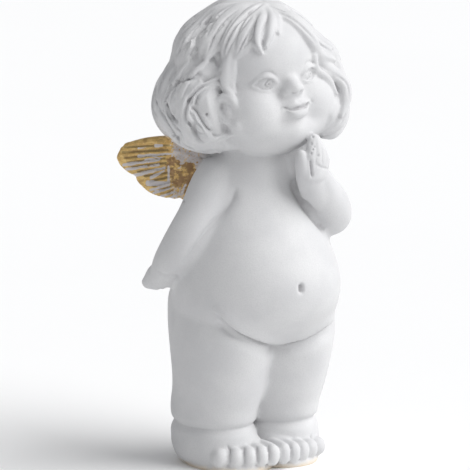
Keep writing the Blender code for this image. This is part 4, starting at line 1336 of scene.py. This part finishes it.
class Gilding(bpy.types.PropertyGroup):
    """The gold brushed on the wings."""

    gold: colour_property("Gold", "Where the gold lies thick", (0.58, 0.35, 0.08))
    light: colour_property("Light gold", "Where the gold is brushed bright", (0.79, 0.55, 0.19))
    deep: colour_property("Deep gold", "Where the gold is dark", (0.38, 0.22, 0.05))
    # Painted shade: olive gold in the groove beside each rib.
    olive_groove_shade: colour_property("Olive", "The dark line beside each rib", (0.19, 0.13, 0.02))
    # This brown is the stain of the patches near the roots, and also the painted shade in the hollows of
    # the gold.
    brown: colour_property("Brown", "The brown stain near the roots of the wings", (0.22, 0.10, 0.02))
    stained: colour_property("Stained plaster", "The plaster that shows on the wings", (0.68, 0.63, 0.66))
    cover: number("Cover", "How much the gold hides the plaster", 0.92, min=0, max=1)
    metal: number("Metal", "How metallic the gold is", 0.35, min=0, max=1)


class StudioLook(bpy.types.PropertyGroup):
    """The floor, the lights and the view."""

    floor: colour_property("Floor", "The pale floor", (0.93, 0.93, 0.93))
    sky: number("Fill", "Strength of the light from all round", 0.42, min=0)
    key: number("Key", "Strength of the light from the right", 3.1, min=0)
    softness: number("Softness", "Width of the light from the right", math.radians(60), subtype="ANGLE")
    azimuth: number("Azimuth", "Turn of the view round the figurine", math.radians(-30), subtype="ANGLE")
    elevation: number("Elevation", "Height of the view above level", math.radians(11), subtype="ANGLE")
    distance: number("Distance", "From the camera to the figurine", 2.4, unit="LENGTH")
    frame_width: number("Frame width", "Width of the view at the figurine", 0.1805, unit="LENGTH")
    aim_right: number("Aim right", "Middle of the view, to the right", -0.00576)
    aim_up: number("Aim up", "Middle of the view, upwards", 0.0860)


# Operators

FLOOR_SIZE = 6.0
# How far the light stands to the right of the view, towards it, and up.
LIGHT_FROM = (1.0, 0.2, 0.9)


class CUPID_OT_figurine(bpy.types.Operator):
    """Cast the figurine and gild its wings"""

    bl_idname = "cupid.figurine"
    bl_label = "Cast figurine"

    def execute(self, context):
        scene = context.scene
        mesh = cast_figurine(scene.cupid_sizes)
        mark_finish(mesh)
        mesh.transform(Matrix.Scale(scene.cupid_sizes.height / CANON, 4))
        mesh.name = "cupid_figurine_cast"
        mesh.materials.clear()
        mesh.materials.append(figurine_paint(scene.cupid_plaster, scene.cupid_gilding))
        mesh.shade_smooth()
        piece = bpy.data.objects.new("cupid_figurine_cast", mesh)
        scene.collection.objects.link(piece)
        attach(piece, "root")
        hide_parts(NODE)
        return {"FINISHED"}


class CUPID_OT_studio(bpy.types.Operator):
    """Lay the floor, light it and set the camera"""

    bl_idname = "cupid.studio"
    bl_label = "Set up studio"

    def execute(self, context):
        scene, look = context.scene, context.scene.cupid_studio
        mesh = bpy.data.meshes.new("floor")
        half = FLOOR_SIZE / 2
        corners = [(-half, -half, 0), (half, -half, 0), (half, half, 0), (-half, half, 0)]
        mesh.from_pydata(corners, [], [(0, 1, 2, 3)])
        mesh.materials.append(plain_paint("floor_paper", look.floor, 0.9))
        floor = bpy.data.objects.new("floor", mesh)
        scene.collection.objects.link(floor)

        right = Vector((math.cos(look.azimuth), math.sin(look.azimuth), 0))
        level = math.cos(look.elevation)
        back = Vector((
            math.sin(look.azimuth) * level, -math.cos(look.azimuth) * level, math.sin(look.elevation),
        ))
        up = back.cross(right)
        middle = right * look.aim_right + up * look.aim_up
        camera = bpy.data.objects.new("camera", bpy.data.cameras.new("camera"))
        camera.data.lens = camera.data.sensor_width * look.distance / look.frame_width
        camera.location = middle + back * look.distance
        camera.rotation_mode = "QUATERNION"
        camera.rotation_quaternion = (-back).to_track_quat("-Z", "Y")
        scene.collection.objects.link(camera)
        scene.camera = camera

        lamp = bpy.data.objects.new("key", bpy.data.lights.new("key", "SUN"))
        lamp.data.energy = look.key
        lamp.data.angle = look.softness
        toward = right * LIGHT_FROM[0] + back * LIGHT_FROM[1] + Vector((0, 0, LIGHT_FROM[2]))
        lamp.location = middle + toward
        lamp.rotation_euler = (-toward).to_track_quat("-Z", "Y").to_euler()
        scene.collection.objects.link(lamp)

        world = bpy.data.worlds.new("studio")
        world.use_nodes = True
        background = world.node_tree.nodes["Background"]
        background.inputs["Color"].default_value = (0.97, 0.98, 1.0, 1)
        background.inputs["Strength"].default_value = look.sky
        scene.world = world
        scene.view_settings.view_transform = "Standard"
        return {"FINISHED"}


class CUPID_PT_panel(bpy.types.Panel):
    """The settings and the steps of the figurine"""

    bl_idname = "CUPID_PT_panel"
    bl_label = "Cupid figurine"
    bl_space_type = "VIEW_3D"
    bl_region_type = "UI"
    bl_category = "Cupid"

    def draw(self, context):
        for group in GROUPS:
            box = self.layout.box()
            settings = getattr(context.scene, group)
            for name in settings.bl_rna.properties.keys():
                if name not in ("rna_type", "name"):
                    box.prop(settings, name)
        for operator in (CUPID_OT_figurine, CUPID_OT_studio):
            self.layout.operator(operator.bl_idname)


GROUPS = {
    "cupid_sizes": FigurineSizes,
    "cupid_plaster": PlasterFinish,
    "cupid_gilding": Gilding,
    "cupid_studio": StudioLook,
}
OTHERS = (CUPID_OT_figurine, CUPID_OT_studio, CUPID_PT_panel)


def register():
    for name, group in GROUPS.items():
        bpy.utils.register_class(group)
        setattr(bpy.types.Scene, name, PointerProperty(type=group))
    for other in OTHERS:
        bpy.utils.register_class(other)


def unregister():
    for other in reversed(OTHERS):
        bpy.utils.unregister_class(other)
    for name, group in GROUPS.items():
        delattr(bpy.types.Scene, name)
        bpy.utils.unregister_class(group)


def main():
    register()
    bpy.ops.cupid.figurine()
    bpy.ops.cupid.studio()


if __name__ == "__main__":
    main()
